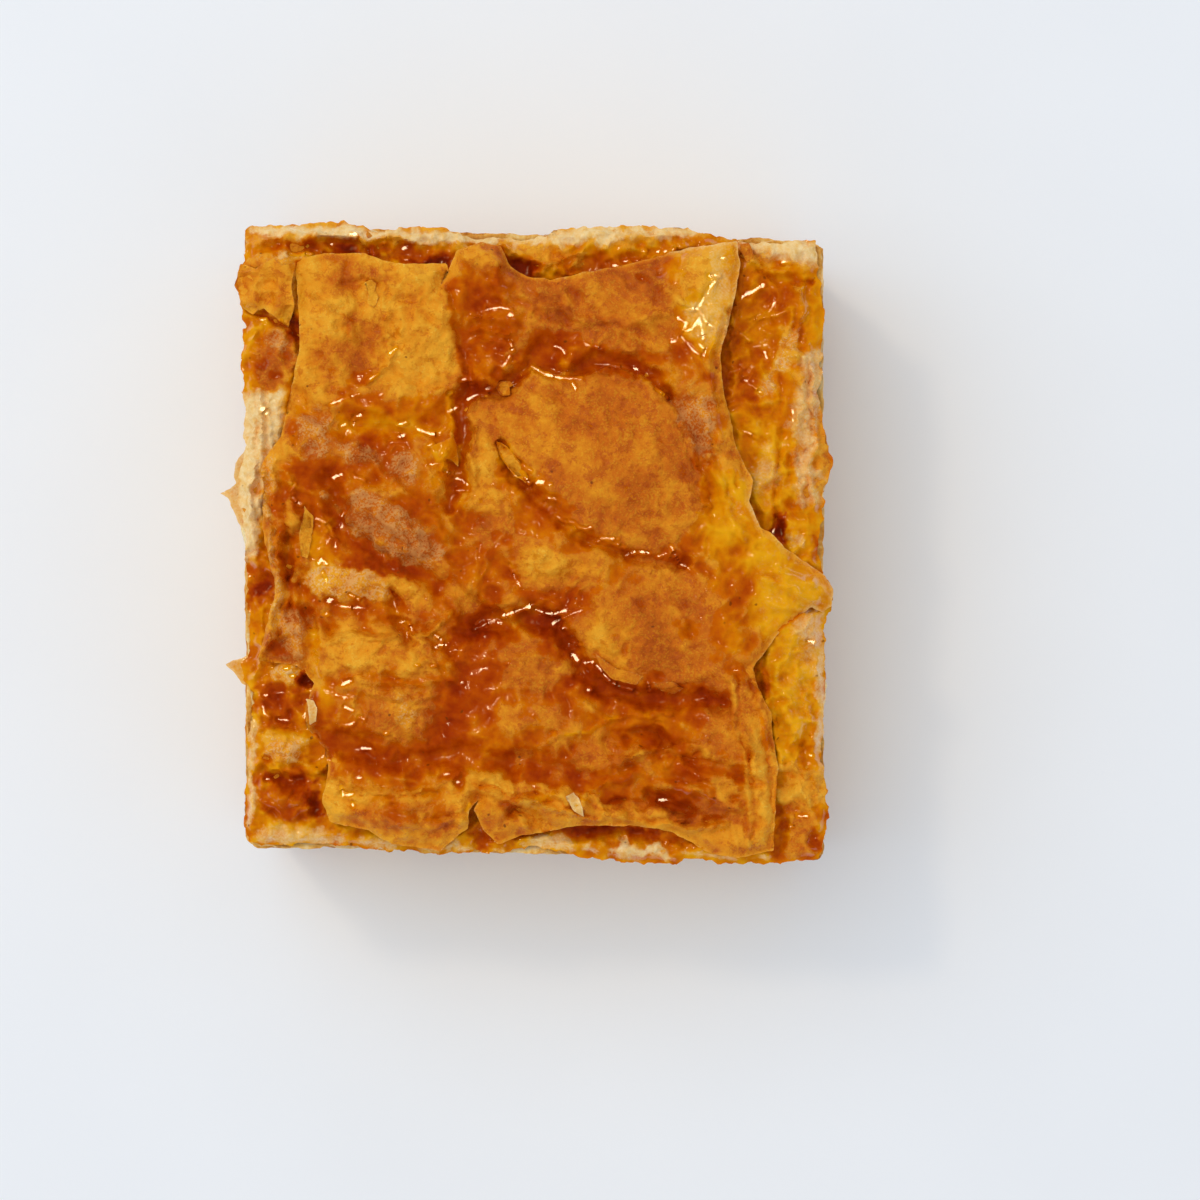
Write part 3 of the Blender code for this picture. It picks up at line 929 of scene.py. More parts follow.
SHEET_FOLDS = (
    Fold(path(-31.5, 19, -27, 16.5, -20, 15.5, -13, 15.5, -9.5, 19.5), 2.4, 1.2, Look.GOLD_WET),
    Fold(path(-27.5, 8, -26, 3, -20.5, -1.2, -15, -3.4, -9, -8.5, -5.5, -10), 2.6, 1.7, Look.RED_SYRUP),
    Fold(path(-7, -10.6, -3.6, -10.6, -0.5, -9.8, 3.2, -10.6, 4, -13), 2, 1.8, Look.DEEP_SYRUP),
    Fold(path(-9.2, 19.9, -9.6, 13.5, -10.4, 8.5, -11.5, 5.5), 1.9, 1.5, Look.RED_SYRUP),
    Fold(path(-9.2, 20.2, -5, 20.2, -0.8, 23.6, 4.8, 22.7, 8.5, 24.3, 12.8, 24, 16.2, 22, 18, 19.8), 1.7, 1.7,
        Look.RED_SYRUP),
    Fold(path(18, 19.8, 20.6, 15.8, 22.4, 11, 23.5, 4), 1.8, 0.7),
    Fold(path(-4.4, 13, -2.6, 9, 1.5, 5.6, 3.6, 2, 9.5, -0.4, 12.4, -1.8, 20, -2.6), 1.5, 1.1, Look.RED_SYRUP),
    Fold(path(4.8, -13.6, 6.6, -17.2, 10, -19.8, 15, -20.6, 25, -21), 2, 1.5, Look.RED_SYRUP),
    Fold(path(-32.2, 0.8, -32.3, -5, -34, -10.6), 1.7, 1.1, Look.RED_SYRUP),
    Fold(path(-30, -4.1, -31, -7, -29.8, -11.5, -30.2, -17), 1.5, 1.1, Look.AMBER_WET),
    Fold(path(-18.6, -6.8, -17.6, -10.5, -16.5, -13.5), 1.3, 1.3, Look.AMBER_WET),
    Fold(path(-28.8, -25, -23, -27.5, -18, -28.6, -9, -28.2, -1, -29.2, 7, -31), 2.8, 1.3, Look.RED_SYRUP),
    Fold(path(10, -26.4, 15.8, -25, 21, -28, 27, -30.5, 29.5, -31.6), 1.6, 1.1, Look.BROWN_WET),
    Fold(path(15, -33, 19, -35.2, 22.6, -36.2), 1.6, 1.1, Look.RED_SYRUP),
    Fold(path(-3, -35.4, -0.6, -36.4, 1.5, -37.4), 1.3, 1.3, Look.AMBER_WET),
    Fold(path(7.2, -33.6, 10.4, -34.4, 14, -34.8), 1.1, 1, Look.RED_SYRUP),
    Fold(path(-25.5, 34.6, -22.4, 34.9, -20.6, 34.4), 0.9, 0.5, Look.BROWN_DRY),
    Fold(path(-20, 29.4, -18.6, 27.6, -17.6, 26), 0.8, 0.5, Look.BROWN_DRY),
    Fold(path(-4.1, 38.8, -5.2, 35.2, -3.6, 31.9, -2.6, 28.4), 1, -0.5),
    Fold(path(-11.3, 33, -10.4, 30.4, -9.4, 27, -8.8, 23), 0.9, 0.6, Look.BROWN_WET),
    Fold(path(-8.6, 29.8, -6, 29.7, -3.2, 29.6), 0.7, -0.5),
    Fold(path(-8.3, 28.2, -5.6, 28.2, -3.2, 28.1), 0.7, -0.5),
    Fold(path(-8, 26.6, -5.5, 26.8, -3.1, 26.6), 0.7, -0.5),
    Fold(path(-8.2, 25, -5.6, 25.1, -3.5, 24.9), 0.7, -0.4),
    Fold(path(-6.3, -8.6, -4.1, -7.7, -1.8, -7.2, 0.8, -7.4, 3.3, -7.9), 0.9, -0.6),
    Fold(path(-36, 9, -35.5, 3, -34.6, -2, -33.9, -6, -34.8, -10.4, -36.2, -15), 0.9, -1.2, Look.PINK_DRY),
    Fold(path(-30.7, -1.9, -32.3, -5.7, -33.2, -8.4, -34.3, -11), 0.7, -0.5),
    Fold(path(-9.1, -33.2, -7.8, -32.1, -7, -31.2, -5.6, -30.8), 0.9, -0.6, Look.GOLD_DRY),
    Fold(path(-1.8, -34.2, -0.7, -34.6, 0.8, -33.9, 2.4, -33.2, 4.6, -33.8), 0.8, -0.6, Look.GOLD_WET),
    Fold(path(6.2, -34.2, 7.7, -35.2, 9.9, -36, 11.7, -36.8), 0.8, -0.5, Look.GOLD_WET),
    Fold(path(19.7, -36.4, 21, -36, 25, -35), 0.7, -0.4),
    Fold(path(27.9, -24.8, 29.2, -27.5, 31.2, -31.7), 0.8, -0.5),
    Fold(path(30.4, -3.4, 33.5, -4, 37, -5), 0.8, -0.5),
    Fold(path(30.2, -4.4, 33.5, -6, 37.5, -7.6), 0.8, -0.5),
    Fold(path(30.5, -8, 33, -8.4, 35.5, -8.6), 0.7, -0.4),
    Fold(path(26.3, 31.2, 26.2, 29.4, 26.1, 27.6), 0.6, 1.3, Look.SYRUP_HOLE_AND_SHADE),
    Pleats(path(27.6, -17, 28.8, -24, 30.4, -31, 30.6, -40), 4, 1.2, 0.75, 0.6, Look.GOLD_DRY),
    Pleats(path(24.6, 17, 25.6, 10, 27.2, 5, 29, 1), 3, 1.5, 0.9, 0.55, Look.GOLD_DRY),
    Pleats(path(25.4, 30.5, 24, 24.5, 24, 20, 25.6, 13), 2, 1.3, 0.8, 0.5),
    Pleats(path(-25.5, 9, -20, 4.5, -14.5, -1.5), 4, 2.3, 1.1, 0.8),
    Pleats(path(-33.8, 10, -33, 3, -32.6, -4, -32.4, -12), 2, 1.7, 0.9, 0.7),
    Pleats(path(-9, -31.4, -5, -32, -1, -33, 5, -34.2, 9.6, -35.6), 3, 1.2, 0.75, 0.8, Look.GOLD_DRY),
    Pleats(path(12, -35.6, 16, -36.8, 20, -37.4, 25, -36.6), 2, 1.5, 0.8, 0.7, Look.GOLD_WET),
    Pleats(path(-27, -33, -22, -34.6, -15, -35.6, -9.6, -35.2), 3, 1.7, 1, 0.7),
    Pleats(path(-25, -17, -18, -17.8, -11, -17), 2, 1.8, 0.9, 0.6),
    Pleats(path(8, -31.4, 14, -29.4, 20, -31.6, 27, -33.8), 2, 2.2, 1.1, 0.7),
    Fold(path(-27.5, -11.5, -20, -10.8, -14, -11.6, -11, -14), 1.6, 0.9, Look.AMBER_WET),
    Fold(path(-10.6, 19, -10.8, 14, -11.8, 9), 0.8, -0.7, Look.GOLD_WET),
    Fold(path(-8.2, 8, -8, 13, -8.2, 17.5, -6.6, 19.6), 0.6, -0.6, Look.GOLD_DRY),
    Fold(path(14.2, 22, 17.4, 19.4, 20.2, 15.2, 22, 10.8, 22.8, 5), 0.7, -0.6, Look.GOLD_WET),
    Fold(path(-27.6, -13.4, -24, -12, -19.4, -12.6, -14, -11.8, -11.4, -9.4), 0.7, -0.7, Look.GOLD_DRY),
    Fold(path(-26, -19, -21, -19.6, -16.4, -20.8, -12.6, -20.2), 0.7, -0.6, Look.TAN_DRY),
    Fold(path(2, -26.2, 8, -24, 13, -22.6, 18, -22.4), 0.7, -0.6, Look.GOLD_WET),
    Fold(path(12, -28.6, 17, -27, 22, -27.6, 26, -29), 0.7, -0.6, Look.GOLD_DRY),
    Fold(path(-26.8, -31.6, -20, -33, -13, -32.4, -9.6, -30.4), 0.7, -0.7, Look.TAN_DRY),
    Fold(path(1, 31.6, 6.4, 30, 12, 29.4, 17.4, 30.6), 0.8, -0.5, Look.TAN_DRY),
    Fold(path(-29.2, 32.3, -27.4, 31.8, -26.2, 29.8, -24.6, 29.2, -23.8, 27.6), 0.7, -0.7, Look.YELLOW_DRY),
    Fold(path(-19.2, 31.6, -19.8, 28, -18.6, 25.6, -19.4, 23.4, -22, 21.6), 0.6, -0.5, Look.YELLOW_DRY),
)

SHEET_MARKS = (
    # Dry upper left field and its torn golden step.
    Region(path(-33, 39, -10, 39, -10.6, 30, -9.6, 22, -14, 19.5, -20, 19.5, -27, 19.5, -33, 19), Look.GOLD_DRY,
        soft=1.2),
    Region(path(-19.8, 32.8, -12.8, 33.2, -10.8, 29, -10.6, 23, -15.5, 21, -19, 24.5), Look.YELLOW_DRY, -0.35, 0.25),
    Patch(-16, 35.2, 4.2, 1.7, 0, Look.YELLOW_DRY, 0.2, 0.3),
    Patch(-27, 29.5, 3.4, 1.6, 70, Look.YELLOW_DRY, 0.1, 0.8),
    Patch(-22.2, 29, 2.2, 1.2, 5, Look.BROWN_DRY, -0.1, 0.6),
    Patch(-23.4, 35.3, 3.6, 1, 5, Look.BROWN_DRY, 0, 0.7),
    Patch(-25.5, 24.8, 4.2, 2.6, 10, Look.TAN_DRY, 0, 1),
    Patch(-22.8, 21.8, 1.3, 0.8, 20, Look.AMBER_WET, -0.2, 0.3),
    Patch(-15, 17.8, 2.6, 1.9, 0, Look.AMBER_WET, -0.2, 0.4),
    Patch(-22, 17.2, 3.4, 1.4, 0, Look.GOLD_WET),
    # The fold hump's valley.
    Region(path(-11.4, 33, -9.4, 27, -9.2, 20, -4.2, 21, -2.5, 27, -3, 31, -5.4, 35.2, -8.6, 36.4), Look.BROWN_WET, 0,
        0.6),
    Patch(-6.5, 38.2, 3.4, 1.3, -20, Look.GOLD_DRY, 0.1),
    Patch(-2.2, 25, 1.2, 2.6, 5, Look.TAN_DRY, 0.3, 0.25),
    Patch(-6.4, 22, 1.2, 1.8, 0, Look.AMBER_WET, 0.2, 0.3),
    # Brown field along the top and the yellow corner.
    Region(path(-2.6, 36, 8, 36.5, 18, 38.6, 19.5, 31, 18.5, 26, 12, 25.8, 5, 28.4, -1.5, 28.8), Look.BROWN_DRY, 0,
        1.2),
    Patch(2.2, 32.6, 1.2, 3, -25, Look.TAN_DRY, 0.2, 0.6),
    Patch(14.5, 31, 4.6, 2.2, 20, Look.TAN_DRY, 0.1, 1),
    Region(path(18.6, 40, 27.5, 41, 27, 34, 25.6, 26, 22, 25.2, 19.6, 28, 19.4, 33), Look.YELLOW_WET, 0, 0.9),
    Patch(20.6, 35.6, 1.6, 3.2, -20, Look.GOLD_DRY, 0.1),
    Patch(21.6, 16, 3.4, 4.2, 15, Look.ROSY_DRY, 0, 0.8),
    Patch(26, 17, 1.4, 8.5, -5, Look.GOLD_WET, 0, 0.7),
    Patch(26.2, 3, 4.4, 6, 10, Look.GOLD_WET, 0, 1),
    # Pools above the dome.
    Patch(1.6, 25.6, 3.6, 1.9, 8, Look.RED_SYRUP, 0, 0.3),
    Patch(4.1, 23.9, 0.8, 1.3, -10, Look.AMBER_WET, 0.2, 0.2),
    Patch(7.2, 24.4, 2.3, 1.8, 0, Look.BROWN_WET, 0, 0.35),
    # The dome.
    Region(path(-8.4, 8.5, -8.3, 17.8, -7.4, 19.4, -0.4, 21.9, 7, 21, 9.5, 22.6, 14.2, 21.8, 17.2, 19.2, 20, 15, 21.8,
        10.5, 22.5, 4, 18, -0.6, 12, -0.6, 9.4, 0.9, 4.2, 3.4, 2.2, 7.4, -1.6, 11.4, -4.6, 13.9, -5.6, 9, -3.6, 5, -2.4,
        1.8, -1.8, -5.6, 3, -6.3, 9.5, -4.6, 8.5, -1.5, 3.2, -1, -1, 0.6, -5, 2.4, -7.4, 5.2), Look.TAN_DRY, 0.2, 0.35,
        0.45),
    Patch(-6.6, 8.5, 1.6, 3.4, 0, Look.GOLD_DRY, 0, 0.7),
    Patch(-3.6, 10.6, 1, 2.1, 25, Look.GOLD_WET, 0, 0.25),
    Patch(0.4, 6.8, 3.6, 1.2, -35, Look.AMBER_WET, -0.2, 0.3),
    Patch(5.6, 1.2, 2.8, 1, -30, Look.AMBER_WET, -0.2, 0.3),
    Patch(-0.4, 3.6, 1.3, 1.6, 0, Look.AMBER_WET, -0.1, 0.4),
    Patch(3, -3.6, 5, 2.2, -8, Look.GOLD_DRY, 0.1, 0.4),
    Patch(17.2, -4.2, 4.6, 2, -20, Look.TAN_DRY, 0, 1),
    # Left centre.
    Patch(-29, 13.8, 2.2, 4, 0, Look.ROSY_DRY, 0.2, 0.4),
    Patch(-23.2, 12.2, 2.2, 1.6, 0, Look.ROSY_DRY, 0.2, 0.3),
    Patch(-17.4, 10.6, 1.7, 2.2, 0, Look.ROSY_DRY, 0.2, 0.3),
    Patch(-33.8, 11.2, 1.5, 3.6, 0, Look.GOLD_DRY, 0.1, 0.4),
    Patch(-11.9, 11.5, 1.6, 1.5, 10, Look.GOLD_WET, 0.3, 0.25),
    Patch(-20, 2.6, 5.8, 3.2, -40, Look.ROSY_DRY, 0.35, 0.3),
    Patch(-14.6, -0.6, 3.2, 2.2, -30, Look.ROSY_DRY, 0.2),
    Patch(-27.6, 6, 1.3, 0.9, 0, Look.ROSY_DRY, 0.2, 0.25),
    Patch(-28.6, 8.8, 3.6, 2.4, 0, Look.RED_SYRUP, -0.2, 0.6),
    Patch(-31.9, 3.5, 0.9, 1.4, 0, Look.GOLD_DRY, 0.1, 0.2),
    Patch(-28.2, 0.8, 1.5, 2.6, 0, Look.GOLD_WET, 0.2, 0.3),
    Patch(-20.8, -3.6, 3.4, 1.3, -35, Look.DEEP_SYRUP, 0, 0.4),
    Patch(-25.2, -5.4, 5.4, 2.3, -6, Look.PINK_DRY, 0.3, 0.25),
    Patch(-17, -6.6, 1.6, 3, 25, Look.GOLD_DRY, 0.2, 0.25),
    Patch(-21.8, -14, 7.6, 3.4, 0, Look.GOLD_DRY, 0.2),
    Patch(-10, -6.8, 2.4, 1.7, -40, Look.TAN_DRY, 0.2, 0.3),
    Patch(-6.2, 1.4, 1.2, 1.5, 0, Look.TAN_DRY, 0.1, 0.3),
    Patch(-12.6, -3.6, 0.8, 1, 0, Look.TAN_DRY, 0.1, 0.3),
    Patch(-32.2, -12, 2, 3, -10, Look.ROSY_DRY, 0, 0.7),
    # The main valley and the middle right field.
    Patch(-8.4, -11.6, 3.4, 2, 15, Look.DEEP_SYRUP, 0, 0.4),
    Patch(3.1, -12, 2.1, 1.9, 20, Look.DEEP_SYRUP, 0, 0.4),
    Patch(-1.3, -13.9, 3, 1.5, -10, Look.TAN_DRY, 0.2, 0.3),
    Region(path(5.5, -9.6, 9, -7.4, 14, -6, 22, -7.2, 27, -9, 28, -15, 24, -19.2, 17, -18.6, 12, -16.2, 7.4, -14.4, 5.2,
        -12.4), Look.TAN_DRY, 0.1, 0.5, 0.7),
    Patch(9.9, -12.2, 3.6, 2.4, -25, Look.GOLD_DRY, 0.1),
    Patch(20.8, -11.4, 1.5, 1.1, 0, Look.AMBER_WET, 0, 0.3),
    Patch(27, 5, 2.4, 4.4, 10, Look.YELLOW_SOAKED, 0, 0.8),
    Streak(path(-29.6, -12, -28.6, -18, -27.4, -24), 0.7, Look.GOLD_WET),
    Streak(path(29.4, -21, 30.4, -30, 31, -39), 0.6, Look.YELLOW_DRY),
    Streak(path(-27.4, -36, -20, -38.4, -13, -38.8, -9, -36.4), 1.9, Look.GOLD_DRY, 0, 0.7),
    Streak(path(-4.6, -36.4, 3, -38.2, 10, -37.4, 18, -38.6, 27, -38.8), 1.1, Look.GOLD_DRY, 0, 0.7),
    Streak(path(-34.8, 12, -35.2, 4, -33.8, -4, -34.4, -12), 0.5, Look.PINK_DRY),
    Patch(26, -10.5, 1.6, 4, -10, Look.AMBER_WET, 0, 0.7),
    Region(path(29.6, 1.5, 34, -1.2, 38.8, -4.2, 40.4, -6, 40, -9, 35, -10.4, 31, -13.2, 28.6, -8, 28.4, -3),
        Look.YELLOW_SOAKED, 0, 0.8),
    # The lower middle.
    Patch(10, -19.2, 5, 1.7, -14, Look.DEEP_SYRUP),
    Patch(-8.4, -21.5, 3.2, 5.6, 0, Look.RED_SYRUP, 0, 1, 1.4),
    Patch(6, -17.2, 3.4, 1.6, -20, Look.DEEP_SYRUP),
    Patch(0.2, -17.4, 4.2, 2.3, 0, Look.TAN_DRY, 0.1, 0.4, 1),
    Patch(-2.8, -22.8, 2.2, 2.1, 0, Look.TAN_DRY, 0.2, 0.3, 0.9),
    Patch(2.1, -22.6, 1.8, 2.1, 0, Look.TAN_DRY, 0.1, 0.3, 0.9),
    Patch(-1.3, -28.1, 1, 1.3, 0, Look.TAN_DRY, 0.1, 0.25),
    Patch(8.6, -26, 1.4, 1, 0, Look.TAN_DRY, 0.1, 0.25),
    Patch(-18, -22.8, 4, 2.9, 0, Look.TAN_DRY, 0.2, 0.4, 1.1),
    Patch(-17, -22.4, 1.5, 1.8, 30, Look.PINK_DRY, 0.1),
    Patch(-24.5, -28, 5, 2.2, -10, Look.BROWN_WET, 0, 0.6),
    Patch(-11.1, -31.1, 2.2, 0.9, 0, Look.RED_SYRUP, -0.2, 0.3),
    Patch(16.5, -24.2, 5.4, 2.4, -5, Look.BROWN_WET, 0.1, 0.9, 1.2),
    Patch(25.5, -25, 3.4, 3.4, 0, Look.TAN_DRY, 0.1, 0.8, 1.2),
    Patch(25.4, -32.6, 1.6, 1.4, 0, Look.GOLD_DRY, 0.2, 0.3),
    Patch(18.8, -34.6, 3.6, 1.7, -20, Look.BROWN_WET, 0, 0.6),
    Patch(26.5, -38.6, 3.6, 1.8, 0, Look.GOLD_WET, 0, 0.6),
    Patch(6.5, -28.8, 4.5, 1.6, -5, Look.TAN_DRY, 0.1, 0.6, 1.2),
    # The bottom folds.
    Region(path(-28, -37, -27, -33, -18, -32.6, -9, -33.4, -8.6, -37.8, -12, -41, -22, -38.6), Look.GOLD_DRY, 0, 0.8,
        0.9),
    Patch(-18, -36.2, 7, 2.2, 0, Look.AMBER_WET, 0, 0.9, 1.2),
    Patch(-5.2, -33.4, 2.2, 1.4, 20, Look.GOLD_DRY, 0.1, 0.4),
    Patch(2.4, -36.2, 3.6, 1.3, 0, Look.GOLD_WET, 0.1),
    Patch(-4.4, -37.6, 2.2, 1.6, -30, Look.GOLD_WET, 0.1),
    Patch(-26.8, -33.2, 0.7, 2.6, 5, Look.YELLOW_DRY, 0.1, 0.3),
)

SHEET_GLINTS = beads(
    (-19.2, 25.2, -18.3, 26), (-20.7, 22.5, -21.8, 21.8), (-27, 18.5, -25.6, 19.1, -23.2, 19.8, 0.15),
    (-24, 17, -24, 15.5, 0.12), (-23.6, 17, -23, 17.1, 0.35), (-25.7, 15.7, -25.1, 15.9, 0.3),
    (-25.1, 14.4, -24.8, 15.2, -24.4, 14.6, 0.15), (-18, 15.9, -17, 16.1), (-18, 14.2, -17.4, 14.4, 0.35),
    (-19, 13.5, -16.7, 13.5, 0.12), (-15.5, 15.2, -13.8, 14.6, -12.7, 14.6, 0.3), (-12.7, 14.6, -11.8, 15.5, 0.2),
    (-7.1, 30.7, -6.3, 31.1, -4.5, 31.4, -3.1, 31), (-3.2, 30.3, -2.8, 30.3, 0.35), (-3.1, 26.7, -2.8, 25.7),
    (-3.2, 24.9, -3.6, 24.1, -4.2, 23.4), (-8.5, 23.2, -8.3, 20.8, 0.12), (-9.6, 21.8, -9.2, 21.9),
    (-6.2, 20.6, -5.8, 20.7, 0.3), (-8.8, 19.3, -7.5, 19.9, 0.28), (-11.5, 17.5, -10.2, 18.2, 0.28),
    (-11.4, 20, -11, 20.1), (2.7, 26.3, 3.6, 26, 4.2, 25.2), (-0.3, 23.6, 1.3, 22.6, 3, 22.1, 4.8, 21.9, 6.3, 22, 0.3),
    (6.8, 26.6, 9, 25.9, 0.12), (8, 24, 11, 23.7, 13.9, 23.2, 0.1), (16.2, 20.6, 17.7, 19.5, 0.15),
    (13.2, 23.4, 13.6, 23.3, 0.25), (5.2, 21.2, 5.6, 20.5), (-13.9, 13, -13.4, 13.2), (-13.8, 10.5, -12.4, 10.6, 0.15),
    (-11.7, 9.7, -11.2, 9.3, -9.8, 9.4, 0.2), (-10.5, 8.7, -9.6, 8.5, -8.8, 7.8, 0.25), (-10.3, 7.1, -8.7, 7.1, 0.2),
    (-4.7, 13.4, -3.7, 11.8, -2.7, 11.1, -1.7, 10.6, 0.2), (-1.4, 10.4, -0.3, 9.6, 0.15), (-1.1, 8.8, -0.6, 8),
    (0.6, 8.1, 1.1, 8.1, 0.35), (1.8, 7.8, 2.3, 7.8), (1.8, 6.1, 2.9, 5.9, 0.25), (3.1, 3.6, 3.9, 3, 5.3, 2.8, 0.2),
    (6, 2.2, 7, 1.9, 7.6, 2.1, 0.2), (8.5, 0.3, 9.1, 0.7, 11.2, 0.6, 0.18), (10.7, 0.1, 12, -0.5, 0.18),
    (12.2, -1.6, 13, -1.2, 13.8, -1.1, 15.3, -1.3, 0.25), (16.5, -1.7, 17.6, -1.4),
    (18.2, -0.3, 18.8, -1.5, 19.4, -2.6, 20.4, -3.1, 21, -3.7, 0.15), (-3.2, -2.8, -2.7, -4.1, -1.8, -5.8, 0.1),
    (-26.7, 8.8, -25.5, 9.2, 0.3), (-24, 9, -22.5, 8.4, 0.15), (-32.1, 6.1, -31, 5.1, 0.15),
    (-32.4, 6.9, -31.7, 7.9, 0.15), (-25.1, 4.2, -25.7, 3.6, 0.32), (-25.6, 2.6, -25.6, 2.2),
    (-26.2, 0.4, -26.5, -0.5, 0.3), (-28.6, -2.6, -28.1, -2.1, -27.5, -2.7, 0.3), (-28, -3.8, -27.5, -4.8, 0.15),
    (-24.4, -6.8, -23.3, -7.4, 0.2), (-27.2, -7.6, -26.8, -7.5, 0.5), (-26.5, -8.1, -24.4, -8.5, -22.3, -8.6, 0.2),
    (-27.8, -9.4, -27.4, -9.4, 0.2), (-18.7, -7.5, -18.2, -9.2, 0.15), (-17.8, -10.5, -16.7, -10.4, -16, -12, 0.2),
    (-17.3, -10.9, -16.8, -11.6, -16.9, -12.8, 0.15), (-29, 3.3, -27.8, 3, -27, 1.9, -26.8, 1.2, -27.6, -0.1, 0.12),
    (-30.5, 4.4, -29.8, 1.2, -30.2, -1.6, 0.1), (-4.1, -9.6, -2.7, -9.1, -1, -8.5, 0, -8.1, 0.3),
    (0.2, -8.7, 1.3, -9.2, 2.6, -9.4, 4.2, -8.9, 0.3), (2.4, -10.8, 3.9, -9.9, 5.3, -9.2, 6.6, -8.8, 0.16),
    (-4.8, -10.5, -4.4, -10.5, 0.3), (3.8, -11.2, 4.3, -11.2, 0.28), (-8, -11.5, -6.3, -10.6, -5.2, -10.1, 0.12),
    (5.2, -13.1, 6.2, -13.4), (-13.2, -12.1, -12.3, -12.8, 0.18), (-13.1, -13.9, -12.7, -13.5, -11.6, -13.5, 0.28),
    (-11.2, -14.4, -10.7, -14.1, -9.4, -14.2, 0.16), (5.2, -14.8, 5.8, -15.5, 0.4),
    (6.7, -15.9, 7.9, -15.7, 8.3, -16.3, 0.3),
    (8.4, -16.2, 9.5, -17.6, 10.2, -18.4, 11.5, -19, 12.8, -19.3, 13.8, -19.9, 0.2), (15.2, -18.4, 15.4, -19.5, 0.15),
    (-13.5, -16.2, -13, -16.2), (-6.2, -19.3, -5.2, -19.3, 0.14), (-9.7, -18.5, -9.3, -18.4, 0.2),
    (-3.7, -15.9, -3.3, -15.8, 0.15), (7.1, -19.5, 7.5, -19.4, 0.2), (16.3, -23.8, 17, -24, 0.12),
    (-11.8, -30.6, -11.3, -30.6, 0.25), (-10.4, -31.7, -9.8, -31.7), (16.6, -34.2, 18.2, -34.2, 0.18),
    (-27.8, -28.8, -27.3, -28.8, 0.25), (-25.6, -18.8, -24.3, -18.2, 0.28), (-26.3, -20.1, -24.7, -20.5, 0.15),
    (-25, -21.7, -24, -22.2), (-23.2, -23, -22.5, -23.4, 0.2), (-23.8, -23.6, -24, -24, -25.1, -24.1, 0.2),
    (-22.9, -27.3, -21.7, -27.3, 0.28), (-23.4, -31.1, -23, -31.1), (-25.5, -32.3, -25.3, -33.4, -24.1, -33.3, 0.2),
    (-24, -34.5, -24, -34.9), (-19.8, -25.2, -19.4, -25.2, 0.15), (-15.6, -16.1, -15.2, -16.1, 0.15),
    (24.6, 35.5, 23.2, 35.6, 24, 34.8, 22.6, 32.7, 0.28), (22.6, 32.7, 21.8, 31.2, 22.6, 29.6, 23.7, 28.7),
    (19.9, 31.1, 21.8, 31.1), (19.1, 30, 20.3, 29.2, 19.6, 28, 21, 28.4, 22, 30, 22.5, 27.2, 0.25),
    (19.6, 27.5, 20.6, 26.3, 21.3, 25.4, 22.6, 24.8, 22.9, 25.5, 22, 26.3), (24.9, 37.9, 25.3, 37.9),
    (22.8, -20.6, 21.4, -20.8, 0.12), (18.3, 26.8, 18.8, 26.8, 0.2), (-9, -35.4, -8.5, -34.6, 0.15),
)  # fmt: skip

BED_HUMPS = humps(
    (-34, 37.6, 4.6, 2.6, 10, 1.2), (-34.5, 25, 4.2, 5.5, 10, 1.4), (-31.9, 29.3, 1.3, 3, 10, -3.6),
    (-24.5, 39.5, 4.6, 1.5, 0, -1.6), (-17.6, 38.8, 4.2, 2, -5, -1.6), (-31.6, 39.5, 2.4, 1.1, 10, -1.2),
    (-1.6, 36.6, 2.6, 1.6, 0, -1.8), (7, 37.2, 3.4, 2.4, 0, -1.4), (14, 38.6, 8, 1.6, 12, -0.7),
    (31.4, 37.7, 4, 1.3, -8, -1.4), (33.5, 35.4, 5, 1.3, 0, -0.9), (30, 28.5, 3.8, 7.5, -10, -1.1),
    (35, 31, 2, 5, 0, 0.9), (34.5, 22, 3, 8, -10, 0.9), (36.5, 14, 2.4, 12, 0, -0.6), (32.5, 9, 3, 7, 5, 0.7),
    (32.6, 1.8, 2.2, 2, 0, -2.4), (35.2, 0.8, 1.7, 1.4, 0, 0.8), (35.4, -12, 5.5, 7, 0, 2), (34.6, -24, 3.4, 8, 0, 1),
    (35.5, -32, 3.4, 3.6, 0, 1.1), (33, -38.5, 1.6, 5, 0, -1), (37.4, -39.5, 1.4, 1.8, 0, -1),
    (-36.2, -5.6, 2.2, 3, 0, -1.6), (-36.6, 6, 1.6, 9, 0, -0.8), (-30, -18, 1.6, 1.5, 0, -2.2),
    (-34, -21.8, 3.8, 3.6, 0, -0.7), (-33.4, -27.4, 4.4, 2.8, 5, 1.6), (-33, -31.4, 5, 1.2, -3, -1.2),
    (-32.6, -34.8, 5.4, 3.4, 0, 0.9), (-28.8, -35.2, 1.4, 2.8, 0, -1.6), (9, -38.8, 12, 1.6, 0, -1.6),
    (-7, -40, 1.6, 2.2, 0, -1.4), (14, -41, 4.4, 1.6, 0, 0.5), (-33, -39, 6, 1.4, 0, 0.5),
)  # fmt: skip

